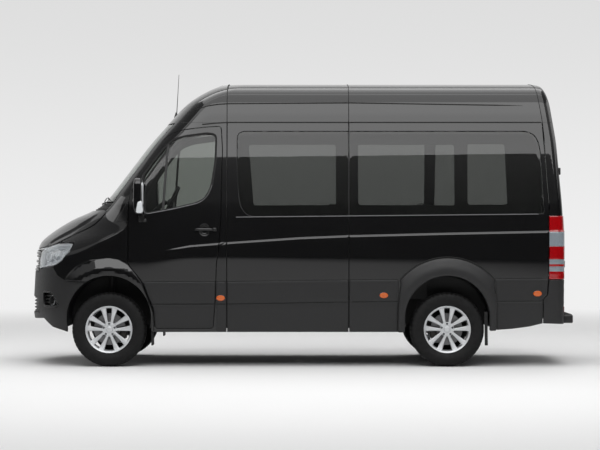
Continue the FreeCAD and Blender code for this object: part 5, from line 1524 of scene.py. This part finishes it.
seatForm = {"places": [(-1.202, -0.430), (-1.202, 0.330), (-0.072, -0.560), (-0.072, 0.0), (0.828, -0.560),
                       (0.828, 0.0), (1.758, -0.560), (1.758, 0.0), (1.758, 0.560)],
            "pad": ((0.006, -0.229, 0.946), (0.474, 0.229, 1.050)),
            "back": ((0.366, -0.224, 1.064), (0.466, 0.224, 1.572)),
            "voxel": 0.012, "pressure": 4.0, "cap": 0.010, "steps": 20}
# seat cloth: woven wool mix with a fine fleck
seatCloth = makeMaterial("wovenSeatCloth", ("26272a", "383a3e"), 1.6, (0.82, 0.92), 0.35,
                         {"Sheen Weight": 0.25})
# bound seam of synthetic leather between the panels
seamPiping = makeMaterial("leatherettePiping", ("1a1a1b", "242425"), 2.0, (0.5, 0.6), 0.2)


def stuffed(name, low, high, across, channels):
    # a block remeshed evenly, blown up by cloth pressure with no gravity, its moves capped, then its sewn
    # channels sunk 7 mm and its long sides drawn in by 5 mm (1 - s^2), s from -1 to 1 between the corners
    low, high = np.array(low), np.array(high)
    thing = roundedBox(name, low, high, 0.024, seatCloth)
    remesh = thing.modifiers.new("remesh", "REMESH")
    remesh.mode, remesh.voxel_size = "VOXEL", seatForm["voxel"]
    thing = applied(thing)
    before = np.array([v.co[:] for v in thing.data.vertices])
    after = before.copy()
    cloth = thing.modifiers.new("cloth", "CLOTH").settings
    cloth.quality, cloth.mass = 3, 0.3
    cloth.use_pressure, cloth.uniform_pressure_force = True, seatForm["pressure"]
    cloth.effector_weights.gravity = 0.0
    for step in range(1, seatForm["steps"] + 1):
        bpy.context.scene.frame_set(step)
    thing = applied(thing)
    bpy.context.scene.frame_set(1)
    move = np.array([v.co[:] for v in thing.data.vertices]) - before
    size = np.linalg.norm(move, axis=1, keepdims=True)
    after = before + move * np.minimum(1.0, seatForm["cap"] / np.maximum(size, 1e-9))
    middle, half = (low + high) / 2, (high - low) / 2
    part = (after - middle) / half
    pull = 0.005 * (1 - np.clip(part[:, across] ** 2, 0, 1))
    after[:, 1] -= np.sign(part[:, 1]) * pull * (np.abs(part[:, 1]) > 0.7)
    thin = 2 if across == 0 else 0
    for at in channels:
        groove = 0.007 * np.exp(-((part[:, across] - at) / 0.045) ** 2)
        after[:, thin] -= np.sign(part[:, thin]) * groove * (np.abs(part[:, thin]) > 0.35)
    thing.data.vertices.foreach_set("co", after.ravel())
    smoothing = thing.modifiers.new("smooth", "SUBSURF")
    smoothing.levels = smoothing.render_levels = 1
    thing = applied(thing)
    thing.data.set_sharp_from_angle(angle=math.radians(180))
    return thing


def piping(low, high, across):
    # a closed piped seam round the pad's edge
    if across == 0:
        flat = rounded([(low[0], low[1]), (high[0], low[1]), (high[0], high[1]), (low[0], high[1])], 0.035)
        path = np.column_stack([flat, np.full(len(flat), high[2] - 0.012)])
    else:
        flat = rounded([(low[1], low[2]), (high[1], low[2]), (high[1], high[2]), (low[1], high[2])], 0.045)
        path = np.column_stack([np.full(len(flat), low[0] + 0.014), flat])
    return tube("piping", path, 0.0038, seamPiping, 8, closed=True)


padShape = stuffed("padShape", *seatForm["pad"], 0, (-0.30, 0.36))
backShape = stuffed("backShape", *seatForm["back"], 2, (-0.42, 0.12, 0.60))
padShapes = [padShape, backShape]
pipes = [piping(*seatForm["pad"], 0), piping(*seatForm["back"], 2)]


def placed(shapes, name, places):
    # copies of the shapes at every seat, as one mesh
    copies = []
    for x, y in places:
        for shape in shapes:
            copy = shape.copy()
            copy.data = shape.data.copy()
            bpy.context.scene.collection.objects.link(copy)
            copy.data.transform(Matrix.Translation((x, y, 0.0)))
            copies.append(copy)
    return joined(name, copies)


seatPads = placed(padShapes, "seatPads", seatForm["places"])
fit(seatPads, "body", "seat_cloth", "seat_cushions")
fit(placed(pipes, "seatPiping", seatForm["places"]), "body", "seat_cloth")
for shape in padShapes + pipes:
    bpy.data.objects.remove(shape, do_unlink=True)
print("stage: seats")

# mudflaps: a flat sheet with its outer edge turned forward

flaps = []
for side, sign in sides.items():
    low, top, inner, outer = 0.205, 0.528, 0.735, 0.958
    for x in (-1.401, 1.817):
        plan = np.array([(x, inner), (x, outer), (x - 0.012, outer), (x - 0.012, inner)])
        if x > 0:
            plan = np.array([(x, inner), (x, outer), (x - 0.030, outer), (x - 0.030, outer - 0.008),
                             (x - 0.008, outer - 0.008), (x - 0.008, inner)])
        points = np.concatenate([np.column_stack([plan[:, 0] - 0.004 * (z - low) / 0.3, plan[:, 1] * sign,
                                                  np.full(len(plan), z)]) for z in np.linspace(low, top, 8)])
        flaps.append(cleaned(makeObject("flap", points, cappedFaces(8, len(plan)), [rubberAndPaintedShade], sharp=30)))
fit(joined("mudflapSheets", flaps), "body", "tyre_rubber", "mudflaps")

# lips under the windows, lighter than the body as a painted highlight

for side, sign in sides.items():
    xs = np.linspace(-0.60, 2.30, 60)
    points = onSide(sign, 0.004)(np.stack([xs, bandFootAt(xs) - 0.004], 1))[0]
    fit(tube(f"bandLip_{side}", points, 0.0042, paintedHighlightLip, 8), "body", "black_plastic")
    edge = spaced(windowOutline, 0.02)
    low = edge[(edge[:, 1] < 1.75) & (edge[:, 0] > -1.49)]
    low = low[np.argsort(low[:, 0])]
    points = onSide(sign, 0.004)(low)[0]
    fit(tube(f"doorLip_{side}", points, 0.0042, paintedHighlightLip, 8), f"door_{side}", "black_plastic")

# finishes of the CAD nodes that stay as they are

nodeLooks = {"floor_pan": floorVinyl, "chassis_frame": dipCoat, "engine": castIron, "rear_axle": castIron,
             "fuel_tank": mouldedPlastic,
             "exhaust": zincSheet, "front_suspension": dipCoat, "knuckle_left": castIron,
             "knuckle_right": castIron,
             "seat_frames": powderCoat}
for name, material in nodeLooks.items():
    mesh = nodes[name].data
    mesh.materials.clear()
    mesh.materials.append(material)
print("stage: carried over")


# studio: bowl, lights and camera

studioForm = {"flat": 50.0, "bend": 8.0, "height": 40.0, "paintedFloor": (4.6, 14.0),
              "wallTones": (-1.6, 11.4),
              "flagTop": (15.7, 22.3), "mirroredFloor": (6.0, 7.8), "paleBeyond": (4.0, 24.0),
              "paleStrength": 0.8}


def ramp(tree, value, span, tones=(0.0, 1.0)):
    # a smooth step from the first tone to the second while the value crosses the span
    return addNode(tree, "ShaderNodeMapRange", {"interpolation_type": "SMOOTHSTEP"},
                   {"From Min": span[0], "From Max": span[1], "To Min": tones[0], "To Max": tones[1]},
                   {"Value": value}).outputs["Result"]


def makeStudio():
    # a bowl: a flat floor, a quarter-round bend and a round wall, as rings of points
    flat, bend = studioForm["flat"], studioForm["bend"]
    a = np.radians(np.linspace(0, 90, 16))
    radii = np.concatenate([[0.02, 4.0, 12.0, 26.0], flat + bend * np.sin(a), [flat + bend]])
    rims = np.concatenate([np.zeros(4), bend - bend * np.cos(a), [studioForm["height"]]])
    turn = around(96)
    points = np.stack([radii[:, None] * np.cos(turn), radii[:, None] * np.sin(turn),
                       rims[:, None] + 0 * turn], -1).reshape(-1, 3)
    bowl = makeObject("studioBowl", points, gridFaces(len(radii), len(turn), False, True), [], sharp=60)
    # painted floor that takes shadows near the object and fades into an evenly lit backdrop
    material = bpy.data.materials.new("paintedBackdrop")
    material.use_nodes = True
    tree = material.node_tree
    paint = tree.nodes["Principled BSDF"]
    paint.inputs["Roughness"].default_value = 0.8
    paint.inputs["Specular IOR Level"].default_value = 0.1
    place = addNode(tree, "ShaderNodeTexCoord").outputs["Object"]
    noise = addNode(tree, "ShaderNodeTexNoise", values={"Scale": 0.5, "Detail": 2.0}, links={"Vector": place})
    tone = addNode(tree, "ShaderNodeMix", {"data_type": "RGBA"}, links={"Factor": noise.outputs["Fac"]})
    tone.inputs["A"].default_value, tone.inputs["B"].default_value = hexColour("e0e0e0"), hexColour("e2e2e2")
    tree.links.new(tone.outputs["Result"], paint.inputs["Base Color"])
    axes = addNode(tree, "ShaderNodeSeparateXYZ", links={"Vector": place})
    level = addNode(tree, "ShaderNodeCombineXYZ", links={"X": axes.outputs["X"], "Y": axes.outputs["Y"]})
    distance = addNode(tree, "ShaderNodeVectorMath", {"operation": "LENGTH"},
                       links={0: level.outputs["Vector"]})
    fade = ramp(tree, distance.outputs["Value"], studioForm["paintedFloor"])
    # mirrored in gloss, the lower wall is a dark flag with a pale field above it
    flag = ramp(tree, axes.outputs["Z"], studioForm["flagTop"], (0.05, 0.85))
    # gloss that looks away over the object mirrors the pale backdrop itself
    beyond = ramp(tree, axes.outputs["Y"], studioForm["paleBeyond"])
    field = addNode(tree, "ShaderNodeMix", {"data_type": "FLOAT"},
                    {"B": studioForm["paleStrength"]}, {"Factor": beyond, "A": flag})
    rays = addNode(tree, "ShaderNodeLightPath")
    seen = addNode(tree, "ShaderNodeMath", {"operation": "MAXIMUM"},
                   links={0: rays.outputs["Is Camera Ray"], 1: rays.outputs["Is Transmission Ray"]})
    # to the eye the wall is a little darker towards its top
    drop = ramp(tree, axes.outputs["Z"], studioForm["wallTones"], (1.11, 0.92))
    plain = addNode(tree, "ShaderNodeMapRange", values={"To Min": 0.2},
                    links={"Value": seen.outputs["Value"], "To Max": drop})
    mirrored = addNode(tree, "ShaderNodeMath", {"operation": "SUBTRACT", "use_clamp": True},
                       links={0: rays.outputs["Is Glossy Ray"], 1: rays.outputs["Is Transmission Ray"]})
    strength = addNode(tree, "ShaderNodeMix", {"data_type": "FLOAT"},
                       links={"Factor": mirrored.outputs["Value"], "A": plain.outputs["Result"],
                              "B": field.outputs["Result"]})
    glow = addNode(tree, "ShaderNodeEmission", links={"Strength": strength.outputs["Result"]})
    glow.inputs["Color"].default_value = hexColour("e6e6e6")
    # gloss sees only the floor near the object
    short = ramp(tree, distance.outputs["Value"], studioForm["mirroredFloor"])
    shortened = addNode(tree, "ShaderNodeMath", {"operation": "MULTIPLY"},
                        links={0: short, 1: mirrored.outputs["Value"]})
    amount = addNode(tree, "ShaderNodeMath", {"operation": "MAXIMUM"},
                     links={0: fade, 1: shortened.outputs["Value"]})
    both = addNode(tree, "ShaderNodeMixShader", links={0: amount.outputs["Value"], 1: paint.outputs["BSDF"],
                                                       2: glow.outputs["Emission"]})
    tree.links.new(both.outputs["Shader"], tree.nodes["Material Output"].inputs["Surface"])
    bowl.data.materials.append(material)


def softbox(name, place, aim, width, height, radiance, roll=0.0):
    # a large area lamp; its power is pi times its area times the brightness of its face
    lamp = bpy.data.lights.new(name, "AREA")
    lamp.shape, lamp.size, lamp.size_y = "RECTANGLE", width, height
    lamp.energy = math.pi * width * height * radiance
    thing = bpy.data.objects.new(name, lamp)
    bpy.context.scene.collection.objects.link(thing)
    thing.location = place
    aimed = (Vector(aim) - Vector(place)).to_track_quat("-Z", "Y").to_matrix().to_4x4()
    thing.rotation_euler = (Matrix.Rotation(roll, 4, "Y") @ aimed).to_euler()
    thing.visible_camera = False
    thing.visible_transmission = False


makeStudio()
softbox("leftBox", (1.0, -9.0, 6.27), (1.0, 0.0, 6.07), 10.5, 3.7, 3.3, math.radians(-0.6))
softbox("leftHighBox", (0.2, -6.2, 10.2), (0.2, -0.8, 2.5), 13.0, 6.9, 2.0)
softbox("rightBox", (0.2, 6.0, 10.8), (0.2, 0.9, 2.0), 13.0, 4.0, 2.3)
softbox("topBox", (0.0, 0.0, 10.5), (0.0, 0.0, 1.0), 12.0, 7.0, 2.0)
softbox("noseBox", (-11.0, 0.0, 5.6), (-2.0, 0.0, 1.2), 8.0, 3.6, 1.6)
softbox("tailBox", (11.0, 0.0, 5.6), (2.0, 0.0, 1.2), 8.0, 3.6, 1.6)

world = bpy.data.worlds.new("studioAir")
bpy.context.scene.world = world
world.use_nodes = True
world.node_tree.nodes["Background"].inputs["Color"].default_value = hexColour("8c8c8c")
world.node_tree.nodes["Background"].inputs["Strength"].default_value = 1.0

lens = bpy.data.cameras.new("camera")
lens.lens, lens.sensor_width, lens.clip_end = 123.3, 36.0, 200.0
camera = bpy.data.objects.new("camera", lens)
bpy.context.scene.collection.objects.link(camera)
camera.location = (0.0135, -20.68, 1.361)
camera.rotation_euler = (math.radians(90), 0, 0)
bpy.context.scene.camera = camera
bpy.context.scene.view_settings.view_transform = "Standard"
print("stage: studio")
